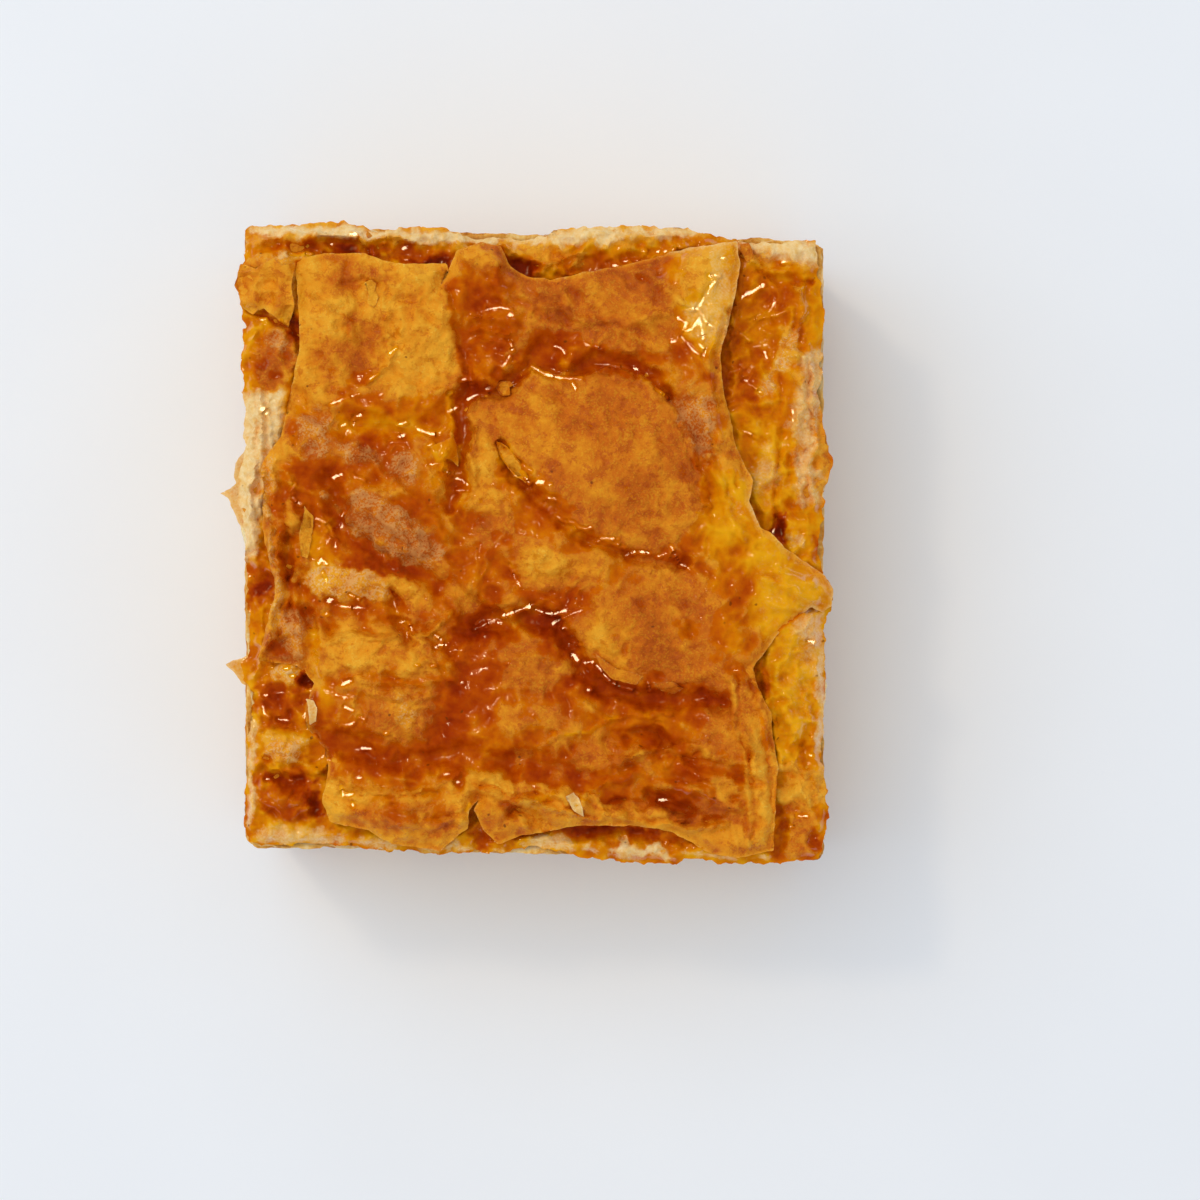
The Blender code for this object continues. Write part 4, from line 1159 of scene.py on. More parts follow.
BED_FOLDS = (
    Fold(path(-38, 40.4, -33, 40.9, -22, 40.9, -12, 40.8, -5, 40), 0.9, -0.7, Look.CREAM_WET),
    Fold(path(-22.2, 40.6, -21.7, 39.6, -21.3, 38.4), 0.8, -1.5, Look.GOLD_WET),
    Fold(path(-38, 31, -35.8, 30.8, -33.6, 29), 0.9, 1.4, Look.SYRUP_HOLE_AND_SHADE),
    Fold(path(-4, 39.4, -0.5, 38, 2.8, 36.2, 4.6, 35.8), 0.8, -1, Look.GOLD_WET),
    Fold(path(-1, 36.6, 0.6, 36.3, 3, 37.4, 5.4, 38.8), 0.7, -0.9, Look.GOLD_DRY),
    Fold(path(28, 38.4, 31, 37.6, 34, 37.2), 0.7, 0.9, Look.BROWN_WET),
    Fold(path(29.9, 36.2, 33.5, 35.4, 37, 34.8), 0.7, 0.9, Look.BROWN_WET),
    Fold(path(28.2, 39.8, 28.4, 38.6, 29, 37.6), 0.7, -0.9, Look.GOLD_DRY),
    Fold(path(34.8, 34, 35.9, 31.5, 35, 29.2, 34.8, 27.4), 0.7, -0.6, Look.GOLD_DRY),
    Fold(path(33.2, 15, 32.6, 9, 32.2, 3.2), 0.7, 0.8, Look.GOLD_WET),
    Fold(path(35.6, 25, 36.3, 18, 36, 9, 35.4, 4), 0.8, -0.7, Look.CREAM),
    Fold(path(37.2, 23, 37.4, 16, 37, 7), 0.6, -0.6, Look.CREAM),
    Fold(path(32.1, -17, 33.9, -20.6, 36.9, -22.9), 0.7, -0.5, Look.YELLOW_WET),
    Fold(path(31.8, -22.4, 33.6, -25.5, 36.9, -28), 0.7, 0.6, Look.GOLD_WET),
    Fold(path(32.6, -29.6, 35.4, -30, 38.2, -31.4), 0.8, -0.8, Look.GOLD_DRY),
    Fold(path(-36.4, -24.6, -33.6, -24, -31, -24.6), 0.8, -0.8, Look.GOLD_DRY),
    Fold(path(-37, -29.5, -32.1, -30.5, -29.8, -30.2, -27.8, -29.5), 0.8, -1, Look.GOLD_WET),
    Fold(path(-2, -38.6, 6, -38.2, 14, -38.4, 20, -39.6), 0.9, 0.8, Look.BROWN_WET),
    Fold(path(-37.8, -20, -37.8, -28, -37.6, -37), 0.8, -0.6, Look.CREAM),
    Fold(path(-37, 20.5, -36.4, 15, -37, 8, -37.4, 0), 0.9, -0.8, Look.CREAM),
    Fold(path(-35.6, 18, -35, 12, -36.6, 4), 0.8, -0.6, Look.CREAM),
    Fold(path(37.9, -15.5, 38.2, -21, 37.9, -26.5), 0.8, -0.6, Look.CREAM_WET),
    Pleats(path(34.9, 27, 36.6, 20, 35.8, 12, 36.2, 5), 2, 1.9, 0.8, 0.9),
    Pleats(path(-37.4, 20, -36.6, 10, -37.6, -2), 2, 1.2, 0.6, 0.7),
    Pleats(path(32.6, -17, 34.5, -24, 35.4, -31), 4, 1.5, 0.8, 0.7),
    Pleats(path(-36, 41.2, -26, 41.5, -16, 40.8, -6, 40.2), 2, 0.9, 0.6, 0.6),
    Pleats(path(2, 41.4, 10, 41.7, 20, 41.2), 2, 0.9, 0.6, 0.6),
    Pleats(path(-35.5, -33, -33, -35, -30.5, -34), 3, 1.4, 0.8, 0.7),
)

BED_MARKS = (
    # Along the top.
    Region(path(-40, 44, 40, 44, 40, 39.2, 20, 40.4, 0, 40, -40, 40.2), Look.YELLOW_DRY, 0, 0.7),
    Streak(path(-38, 41.8, -20, 41.4, -8, 40.6, 4, 41.2, 12, 42, 22, 41.4), 0.9, Look.CREAM),
    Streak(path(-28, 39, -21.4, 39.3, -15, 38.4, -11.5, 38), 0.9, Look.AMBER_WET),
    Streak(path(-27.4, 38.8, -21.8, 38.8, -17, 37.4, -12, 37.6), 0.45, Look.SYRUP_HOLE_AND_SHADE, 0, 0.3),
    Patch(-31.6, 39.6, 2, 0.7, 5, Look.RED_SYRUP, 0, 0.3),
    Patch(-33.6, 37.4, 3.2, 1.8, 0, Look.PINK_DRY, 0.2, 0.4),
    Patch(-1.8, 36.4, 1.8, 1, -20, Look.SYRUP_HOLE_AND_SHADE, 0, 0.3),
    Patch(6.8, 37, 2.4, 1.6, 0, Look.AMBER_WET, 0, 0.4),
    Patch(2, 38.4, 4.2, 1, -8, Look.GOLD_DRY, 0, 0.4),
    Patch(13.4, 38, 6.4, 1.1, 12, Look.AMBER_WET, 0, 0.4),
    Patch(7, 40.9, 9, 0.9, 3, Look.CREAM),
    # Upper left.
    Region(path(-41, 37.5, -32, 37.6, -31.4, 31, -33, 28.8, -36, 31, -40.5, 31.5), Look.GOLD_DRY, 0.1, 0.4),
    Patch(-36.2, 34.6, 1.8, 1.2, 30, Look.CREAM, 0.1, 0.4),
    Patch(-32, 29.4, 1.2, 2.2, 10, Look.SYRUP_HOLE_AND_SHADE, 0, 0.3),
    Patch(-34.6, 24.6, 3, 4, 0, Look.BROWN_DRY, 0.1, 0.4),
    Patch(-34.2, 26.8, 1.6, 0.9, -20, Look.ROSY_DRY, 0.1, 0.3),
    Region(path(-39.5, 20.5, -34, 20.5, -32.6, 16, -34.6, 13, -36.4, 10, -36.2, -3, -40, -3), Look.CREAM),
    Patch(-35.9, 17.7, 0.9, 1.2, 0, Look.CREAM_WET, 0.2, 0.3),
    Patch(-36.1, -5.6, 1.7, 2.5, 0, Look.BROWN_WET, 0, 0.3),
    Patch(-36.2, -5.4, 0.7, 1, 0, Look.SYRUP_HOLE_AND_SHADE, 0, 0.2),
    Patch(-37, -12, 1.2, 3, 0, Look.GOLD_WET),
    # Lower left.
    Patch(-33.2, -17.4, 2.2, 1.4, 0, Look.PINK_DRY, 0.2, 0.4),
    Patch(-30, -18, 1.2, 1.1, 0, Look.SYRUP_HOLE_AND_SHADE, 0, 0.3),
    Patch(-33.8, -21.8, 3.4, 2.8, 0, Look.RED_SYRUP),
    Patch(-33.2, -27.4, 2.8, 1.9, 5, Look.PINK_DRY, 0.2, 0.3),
    Streak(path(-37, -31.3, -32.6, -31.9, -28, -31.4), 0.5, Look.DEEP_SYRUP, 0, 0.3),
    Patch(-32.6, -34.6, 4, 2.8, 0, Look.BROWN_WET, 0, 0.6, 1),
    Patch(-28.7, -35.2, 0.9, 2.2, 0, Look.SYRUP_HOLE_AND_SHADE, 0, 0.3),
    Patch(-33.8, -38.7, 4.6, 1.2, 0, Look.YELLOW_WET),
    Patch(-28.5, -38.5, 2.2, 0.7, 0, Look.CREAM_WET, 0, 0.3),
    Streak(path(-37.7, -20, -37.7, -37), 0.5, Look.CREAM_WET, 0, 0.3),
    # Along the bottom.
    Streak(path(-37, -38.8, -24, -39.7, -12, -40.7, -4, -40.8), 0.8, Look.CREAM_WET),
    Streak(path(-2, -38.2, 8, -38.6, 19, -39), 0.9, Look.BROWN_WET, 0, 0.5),
    Streak(path(-1, -37.8, 8, -38, 16, -38.2), 0.4, Look.SYRUP_HOLE_AND_SHADE, 0, 0.3),
    Patch(13.8, -41, 3.9, 1.2, -5, Look.CREAM, 0.1, 0.4),
    Patch(3, -40.2, 3.4, 0.6, -5, Look.CREAM_WET, 0, 0.3),
    Streak(path(20, -41.2, 28, -42.4, 32, -41.8), 0.5, Look.YELLOW_WET, 0, 0.3),
    Patch(-7, -39.8, 1.3, 1.6, 0, Look.BROWN_WET, 0, 0.3),
    # Right side, from the top down.
    Region(path(27, 41, 39, 41, 38.6, 36.6, 33, 37.9, 28.5, 38.4), Look.CREAM, 0, 0.6),
    Region(path(26.6, 37, 34.4, 34.6, 34.6, 28, 31.6, 20.2, 28.4, 15, 25.4, 18), Look.AMBER_WET, 0, 0.7),
    Streak(path(34.2, 28, 33.6, 25.6, 32, 22, 30.6, 20.4), 0.9, Look.PINK_DRY, 0.1, 0.3),
    Region(path(34.6, 26, 39.5, 26, 40, 6, 35, 4.5, 34.2, 14), Look.PALE, 0, 0.6),
    Patch(31, 10, 2.2, 5.4, 5, Look.YELLOW_WET, 0, 0.8),
    Patch(38.8, 12, 1.1, 4.6, 0, Look.GOLD_DRY, 0, 0.4),
    Patch(32.5, 1.7, 1.2, 1.6, 0, Look.SYRUP_HOLE_AND_SHADE, 0, 0.3),
    Patch(35.2, 0.7, 1.5, 1.2, 0, Look.YELLOW_WET, 0.2, 0.3),
    Patch(38, -0.8, 0.7, 1.6, 0, Look.BROWN_WET, 0, 0.3),
    Patch(35.2, -12, 4.4, 5.4, 0, Look.YELLOW_SOAKED, 0, 0.7),
    Patch(36.8, -12.6, 1.4, 4.4, 0, Look.CREAM_WET),
    Streak(path(30.4, -16.6, 31.2, -19.4, 32.6, -22.4), 0.5, Look.BROWN_WET, 0, 0.3),
    Patch(35, -21.5, 3, 5.6, 0, Look.YELLOW_SOAKED, 0, 0.8, 1),
    Streak(path(38.4, -15, 38.5, -27), 0.55, Look.CREAM_WET, 0, 0.3),
    Patch(35.4, -32.2, 2.8, 3, 0, Look.YELLOW_DRY, 0.1, 0.6),
    Streak(path(33, -34.6, 33, -42), 0.8, Look.AMBER_WET),
    Patch(35.6, -38.6, 1.8, 2.6, 0, Look.TAN_DRY, 0.2, 0.5, 1),
    Patch(37.7, -39.6, 0.8, 1.3, 0, Look.RED_SYRUP, 0, 0.3),
)

BED_GLINTS = beads(
    (-24.3, 41.2, -23.7, 41.2, 0.3), (-17.5, 39.5, -17.1, 39.5, 0.28), (-17.2, 37.9, -16.8, 37.9),
    (-20.4, 40.2, -20, 40.2), (-27.2, 40, -26.8, 40), (-32.5, 38.6, -31.6, 38.5, -30.6, 38.7, -29.6, 38.6, 0.15),
    (10.6, 37.1, 11, 37.1, 0.25), (12, 37.7, 12.4, 37.7), (13.4, 37.8, 13.8, 37.8), (14.5, 39, 14.9, 39),
    (16.4, 38.9, 16.7, 38.9), (17.4, 39, 17.7, 39), (18.4, 39.2, 18.7, 39.2), (19.5, 39.5, 19.8, 39.5),
    (33.2, 37.6, 34, 37.6, 0.28), (27, 32.4, 28.4, 33.3, 29.5, 33.8, 30.6, 34.5, 0.4),
    (32, 33, 31.9, 31.6, 31.2, 30.8, 29.5, 30, 0.15), (28.8, 29.8, 30.4, 30.2, 32.1, 30.5, 33.7, 31.1, 0.1),
    (27, 31.2, 26.8, 29.8, 26.3, 28, 0.15), (27.5, 28.2, 28.7, 27.1, 0.15), (29.4, 26.3, 30.3, 26.4, 0.15),
    (30.7, 25.6, 31.1, 24.8, 0.28), (25.9, 22.8, 28.1, 23.5, 0.1), (27.9, 21.9, 29.5, 20.8, 30.4, 20, 0.12),
    (27.7, 15.2, 29.7, 14.1, 0.12), (34.5, 17.8, 34.5, 16.3), (31.9, 1.6, 32.1, 2), (36.4, -12.9, 37.3, -13.1, 0.35),
    (36.7, -28.2, 37.1, -28.2, 0.25), (35, -36.3, 36.4, -36.3, 0.2), (34.2, -37.7, 34.6, -37.7),
    (37.5, -39.3, 37.9, -39.3), (-36.5, 18.3, -35.6, 17.4, 0.45), (-34.9, 19, -34.5, 19), (-33.2, -16.6, -32.8, -16.6),
    (-35.4, -16.4, -35, -16.4), (-32.4, -17.6, -32, -17.6), (-34.7, -19.8, -33.6, -19.9, -32.6, -19.8, 0.12),
    (-29.8, -19.6, -29.4, -19.6), (-36.1, -21.7, -36, -22.6, -35.3, -23.1), (-34.2, -23.4, -32.8, -23.6, 0.25),
    (-36, -20.2, -35.6, -20.2), (-35.7, -31.4, -35.3, -31.4), (-32.6, -31.6, -32.2, -31.6),
    (-30.3, -21.4, -30.6, -23.4, 0.12), (-30.2, -16.8, -29, -17.7, 0.15), (-10.3, -40.2, -9.9, -40.2),
    (-36.6, 29.8, -35.8, 30, 0.15),
)  # fmt: skip


def crossing_points(outline: Route, spacing: float, fine: float, routes: list[Route]) -> tuple[Array, Array]:
    """Points over an outline's box, closer together along some routes.

    Args:
        outline: the outline.
        spacing: distance between most points.
        fine: distance between points along the routes.
        routes: the routes.

    Returns:
        x and y of the points.
    """
    wide_x, wide_y = hex_grid(outline, spacing)
    close_x, close_y = hex_grid(outline, fine)
    far, near = np.ones(wide_x.shape, bool), np.zeros(close_x.shape, bool)
    for route in routes:
        far[near_route(wide_x, wide_y, route, FINE_REACH + spacing * 0.3)[0]] = False
        near[near_route(close_x, close_y, route, FINE_REACH)[0]] = True
    return np.concatenate([wide_x[far], close_x[near]]), np.concatenate([wide_y[far], close_y[near]])


@dataclass
class CrustSheet(ThinSheet):
    """The torn uppermost leaf, with its blister, folds and pools of syrup."""

    outline: Route = field(default_factory=lambda: resample(SHEET_OUTLINE, 0.35, 0.16, 1.6, 3.0))
    spacing: float = 0.31
    fine: float = 0.16
    edge_thick: float = 0.20
    thick: float = 1.3
    glints: tuple[Glint, ...] = SHEET_GLINTS
    steepness: float = 1.4
    grain_turn: float = -32.0
    grain_stretch: float = 1.9
    lower_rim: float = -33.0
    soft_top: float = 1.5

    def fine_points(self, spacing: float) -> tuple[Array, Array]:
        """Inner points, closest along the beads of syrup."""
        return crossing_points(self.outline, spacing, self.fine, [glint.route for glint in self.glints])

    def relief(self, x: Array, y: Array) -> Skin:
        """The leaf at some points, before its beads of syrup.

        Args:
            x: x of the points.
            y: y of the points.

        Returns:
            The surface there.
        """
        skin = Skin.plain(x, y, SHEET_LEVEL, Look.TAN_DAMP)
        skin.z += 0.35 * RELIEF_NOISE.at(x, y, 0.0, 11.0)
        skin.wander(WANDER)
        for shape in SHEET_HUMPS + SHEET_FOLDS + SHEET_MARKS:
            shape.raise_skin(skin)
        skin.x, skin.y = x, y
        skin.z = SHEET_LEVEL + self.steepness * (skin.z - SHEET_LEVEL)
        # Broad crests, then wrinkles that run longer one way: syrup gathers in their troughs, and crests are painted
        # paler and troughs darker as painted shade.
        big = RELIEF_NOISE.ridges(x, y + 0.4 * x, 9.0) - 0.45
        skin.z += 0.8 * skin.rough * big
        skin.bake -= 0.10 * skin.rough * big
        dry = 1.0 - np.clip(skin.wet, 0.0, 1.0)
        bend = 1.3 * RELIEF_NOISE.at(x, y, 4.0, 5.0)
        rim = closed_distance(x, y, SHEET_OUTLINE, 3.0)
        along, across = oval_axes(x, y, self.grain_turn, self.grain_stretch)
        wrinkle = 0.55 * RELIEF_NOISE.ridges(along + bend, across - bend, 4.4)
        wrinkle = wrinkle + 0.35 * RELIEF_NOISE.ridges(x - bend, y + bend, 2.4)
        wrinkle += 0.30 * RELIEF_NOISE.layers(x, y, 9.0, 2.2, 3) - 0.42
        skin.z += (0.75 + 0.30 * dry) * skin.rough * wrinkle * (0.5 + 0.5 * smooth_step(rim / 2.5))
        skin.z += 0.14 * dry * RELIEF_NOISE.layers(x, y, 2.0, 0.9, 2)
        # Wetter and darker in the troughs, paler on the crests: syrup, and painted shade of the wrinkles.
        skin.wet -= 0.55 * wrinkle * skin.rough
        skin.bake -= 0.36 * wrinkle * skin.rough
        # The rim curls down and sheds its syrup, and the last 0.6 mm to the torn edge is painted paler and creamier.
        curl = smooth_step(1.0 - np.maximum(rim, 0.0) / 1.6)
        skin.z += curl * (0.6 * RELIEF_NOISE.at(x, y, 6.0, 5.0) - 0.8)
        edge = smooth_step(1.0 - np.maximum(rim, 0.0) / 0.6)
        skin.cream += (1.0 - skin.cream) * 0.5 * edge
        skin.bake *= 1.0 - 0.5 * edge
        skin.wet *= 1.0 - 0.7 * curl
        skin.wet *= 1.0 - 0.95 * smooth_step((self.lower_rim - y) / 2.0) * smooth_step(1.6 - rim / 2.6)
        # The lowest hollows and the tallest crests level off.
        skin.z = np.where(skin.z < SHEET_LOWEST, SHEET_LOWEST - (SHEET_LOWEST - skin.z) * 0.3, skin.z)
        soft, turn = self.soft_top, TALLEST - self.soft_top
        skin.z = np.where(skin.z > turn, TALLEST - soft * np.exp((turn - skin.z) / soft), skin.z)
        return skin


@dataclass
class CrustBed(ThinSheet):
    """The crumpled leaf under the torn one, which shows all round it as the slice's margins."""

    outline: Route = field(default_factory=lambda: resample(SLICE_OUTLINE, 0.35, 0.42, 1.3, 8.0))
    spacing: float = 0.27
    hidden_spacing: float = 1.2
    fine: float = 0.16
    cover: float = 2.2
    edge_thick: float = 0.35
    thick: float = 0.9
    glints: tuple[Glint, ...] = BED_GLINTS

    def fine_points(self, spacing: float) -> tuple[Array, Array]:
        """Inner points: close together in the margins, far apart under the torn leaf.

        Args:
            spacing: distance between them in the margins.

        Returns:
            x and y of the points.
        """
        x, y = crossing_points(self.outline, spacing, self.fine, [glint.route for glint in self.glints])
        shown = closed_distance(x, y, SHEET_OUTLINE, self.cover + 0.1) < self.cover
        far_x, far_y = hex_grid(self.outline, self.hidden_spacing)
        hidden = closed_distance(far_x, far_y, SHEET_OUTLINE, self.cover + 1.0) > self.cover + 0.3
        return np.concatenate([x[shown], far_x[hidden]]), np.concatenate([y[shown], far_y[hidden]])

    def relief(self, x: Array, y: Array) -> Skin:
        """The leaf at some points, before its beads of syrup.

        Args:
            x: x of the points.
            y: y of the points.

        Returns:
            The surface there.
        """
        skin = Skin.plain(x, y, BED_LEVEL, Look.GOLD_WET)
        skin.z += 0.5 * RELIEF_NOISE.at(x, y, 30.0, 6.5)
        skin.wander(WANDER)
        for shape in BED_HUMPS + BED_FOLDS + BED_MARKS:
            shape.raise_skin(skin)
        skin.x, skin.y = x, y
        bend = 1.2 * RELIEF_NOISE.at(x, y, 34.0, 4.0)
        wrinkle = 0.6 * RELIEF_NOISE.ridges(x + bend, y - bend, 4.0)
        wrinkle = wrinkle + 0.3 * RELIEF_NOISE.ridges(x - bend, y + bend, 1.8)
        wrinkle += 0.30 * RELIEF_NOISE.layers(x, y, 39.0, 1.8, 3) - 0.42
        rim = closed_distance(x, y, SLICE_OUTLINE, 3.0)
        skin.z += 1.2 * skin.rough * wrinkle * (0.45 + 0.55 * smooth_step(rim / 2.5))
        # Wetter and browner in the troughs, paler on the crests: syrup, and painted shade of the wrinkles.
        skin.wet -= 0.6 * wrinkle * skin.rough
        skin.bake -= 0.42 * wrinkle * skin.rough
        skin.z -= 0.9 * smooth_step(1.0 - np.maximum(rim, 0.0) / 1.5)
        # Under the torn leaf this one lies lower, and along and under its edge it is painted browner and wetter:
        # painted shadow of the overhang.
        under = closed_distance(x, y, SHEET_OUTLINE, 3.0)
        skin.z -= 1.6 * smooth_step(under / 2.0)
        shade = smooth_step((under + 0.25) / 0.9)
        skin.bake += shade * (1.0 - skin.bake) * 0.7
        skin.wet += shade * (1.0 - skin.wet)
        skin.cream *= 1.0 - shade
        skin.rosy *= 1.0 - shade
        low = BED_LOWEST + 0.25 * RELIEF_NOISE.layers(x, y, 46.0, 2.6, 2)
        # The lowest hollows level off softly over the pile of leaves.
        skin.z = low + np.log1p(np.exp(np.clip((skin.z - low) * 5.0, -30.0, 30.0))) / 5.0
        return skin


@dataclass(kw_only=True)
class Flap(ThinSheet):
    """A small loose leaf on one of the surfaces, lifted towards one side."""

    outline: Route
    look: Look
    ground: ThinSheet
    rest: float
    lift: float
    towards: Point2
    spacing: float = 0.28
    edge_thick: float = 0.16
    thick: float = 0.22
    lower_spacing: float = 0.8
    smooth: float = 55.0
    ribs: float = 0.12
    crumple: float = 0.12

    # The leaf bridges its ground: it lies on the mean height of these places round each point.
    FOOTING = ((0, 0), (0.7, 0), (-0.7, 0), (0, 0.7), (0, -0.7))

    def place(self, x: Array, y: Array) -> Array:
        """Heights of the leaf at some points.

        Args:
            x: x of the points.
            y: y of the points.

        Returns:
            The heights.
        """
        ends = np.array(self.outline) @ np.array(self.towards)
        share = (x * self.towards[0] + y * self.towards[1] - ends.min()) / (ends.max() - ends.min())
        across = x * self.towards[1] - y * self.towards[0]
        wave = self.ribs * RELIEF_NOISE.at(across, share * 2.0, self.rest, 1.1)
        wave += 0.15 * RELIEF_NOISE.at(x, y, 15.0, 2.4) + self.crumple * (RELIEF_NOISE.ridges(x, y, 3.0) - 0.4)
        spread = [self.ground.relief(x + dx, y + dy).z for dx, dy in self.FOOTING]
        return np.mean(spread, axis=0) + self.rest + self.lift * smooth_step(share) + wave

    def relief(self, x: Array, y: Array) -> Skin:
        """The leaf at some points.

        Args:
            x: x of the points.
            y: y of the points.

        Returns:
            The surface there.
        """
        skin = Skin.plain(x, y, self.place(x, y), self.look)
        skin.bake += (0.12 + 0.2 * self.crumple) * RELIEF_NOISE.layers(x, y, 21.0, 2.0, 3)
        skin.wet += self.crumple * RELIEF_NOISE.layers(x, y, 27.0, 3.0, 3)
        rim = closed_distance(x, y, self.outline, 1.0)
        skin.cream += (1.0 - skin.cream) * 0.5 * smooth_step(1.0 - rim / 0.4)
        return skin


@dataclass
class Level(ThinSheet):
    """A plain level for flaps that stand out from a side."""

    outline: Route = ()
    spacing: float = 1.0
    edge_thick: float = 0.2
    thick: float = 0.2
    height: float = STACK_LOW

    def relief(self, x: Array, y: Array) -> Skin:
        """The level at some points."""
        return Skin.plain(x, y, self.height, Look.CREAM)


def linear(colour: str) -> tuple[float, float, float, float]:
    """Turns a screen colour into a linear one.

    Args:
        colour: six hex digits.

    Returns:
        Red, green, blue and a full alpha.
    """
    parts = [int(colour[place : place + 2], 16) / 255.0 for place in (0, 2, 4)]
    turned = [part / 12.92 if part <= 0.04045 else ((part + 0.055) / 1.055) ** 2.4 for part in parts]
    return (*turned, 1.0)


def add_node(
    tree: bpy.types.NodeTree,
    kind: str,
    links: dict[str | int, object] | None = None,
    stops: Stops = (),
    **settings: object,
) -> bpy.types.Node:
    """Adds a node.

    Args:
        tree: the tree it goes in.
        kind: the node's type.
        links: a value, or another node's output, or a node for its first output, for each input, by name or place.
        stops: places and hex colours of a colour ramp.
        settings: the node's own settings.

    Returns:
        The node.
    """
    node = tree.nodes.new(kind)
    for name, value in settings.items():
        setattr(node, name, value)
    for key, value in (links or {}).items():
        if isinstance(value, bpy.types.Node):
            value = value.outputs[0]
        if isinstance(value, bpy.types.NodeSocket):
            tree.links.new(value, node.inputs[key])
        else:
            node.inputs[key].default_value = value
    for place, (where, colour) in enumerate(stops):
        ramp = node.color_ramp.elements
        stop = ramp[place] if place < 2 else ramp.new(where)
        stop.position = where
        stop.color = linear(colour)
    return node


def per_mm(size: float) -> float:
    """The scale of a pattern in metres whose spots are size millimetres across."""
    return 1.0 / (size * MM)


class Surface:
    """A material being made, whose patterns lie in the piece's own millimetres."""

    def __init__(self, name: str) -> None:
        """Starts the material.

        Args:
            name: its name.
        """
        self.material = bpy.data.materials.new(name)
        self.material.use_nodes = True
        self.tree = self.material.node_tree
        self.shader = self.tree.nodes["Principled BSDF"]
        self.place = add_node(self.tree, "ShaderNodeTexCoord").outputs["Object"]

    def noise(self, size: float, detail: float = 2.0, gain: float = 0.5, place: object = None) -> Socket:
        """Soft noise around a half: its spots' width, its finer layers and their strength, and where it is read."""
        links = {"Vector": place or self.place, "Scale": per_mm(size), "Detail": detail, "Roughness": gain}
        return add_node(self.tree, "ShaderNodeTexNoise", links).outputs[0]

    def bend(self, size: float, reach: float) -> Socket:
        """The plain place pushed about by noise.

        Args:
            size: width of the noise's spots.
            reach: how far it pushes.

        Returns:
            The bent place.
        """
        push = add_node(self.tree, "ShaderNodeTexNoise", {"Vector": self.place, "Scale": per_mm(size), "Detail": 2.0})
        links = {0: push.outputs["Color"], 1: (2.0 * reach * MM,) * 3, 2: self.place}
        return add_node(self.tree, "ShaderNodeVectorMath", links, operation="MULTIPLY_ADD").outputs[0]

    def sum(self, *terms: tuple[object, float], base: float = 0.0) -> Socket:
        """Adds values up.

        Args:
            terms: each value and its weight.
            base: a number added to them.

        Returns:
            The total.
        """
        total: object = base
        for value, weight in terms:
            links = {0: value, 1: weight, 2: total}
            total = add_node(self.tree, "ShaderNodeMath", links, operation="MULTIPLY_ADD").outputs[0]
        return total

    def times(self, first: object, second: object) -> Socket:
        """Multiplies two values."""
        return add_node(self.tree, "ShaderNodeMath", {0: first, 1: second}, operation="MULTIPLY").outputs[0]

    def step(self, value: object, low: float, high: float, start: float = 0.0, end: float = 1.0) -> Socket:
        """A smooth step, from start at the low value to end at the high one."""
        links = {"Value": value, "From Min": low, "From Max": high, "To Min": start, "To Max": end}
        return add_node(self.tree, "ShaderNodeMapRange", links, interpolation_type="SMOOTHSTEP").outputs[0]

    def ramp(self, value: object, stops: Stops) -> Socket:
        """Colours along a scale."""
        return add_node(self.tree, "ShaderNodeValToRGB", {0: value}, stops).outputs[0]

    def mix(self, share: object, first: object, second: object) -> Socket:
        """Goes from one colour to another."""
        return add_node(self.tree, "ShaderNodeMix", {0: share, 6: first, 7: second}, data_type="RGBA").outputs[2]

    def fix(self, values: dict[str, object]) -> None:
        """Sets those of the shader's sockets that are the same all over."""
        for name, value in values.items():
            self.shader.inputs[name].default_value = value

    def put(self, name: str, value: object) -> None:
        """Feeds one of the shader's sockets."""
        self.tree.links.new(value, self.shader.inputs[name])

    def bump(self, height: object, reach: float, strength: float = 1.0) -> None:
        """Feeds the shader's normal with a pattern that reaches so many millimetres high."""
        links = {"Height": height, "Strength": strength, "Distance": reach * MM}
        self.put("Normal", add_node(self.tree, "ShaderNodeBump", links).outputs[0])


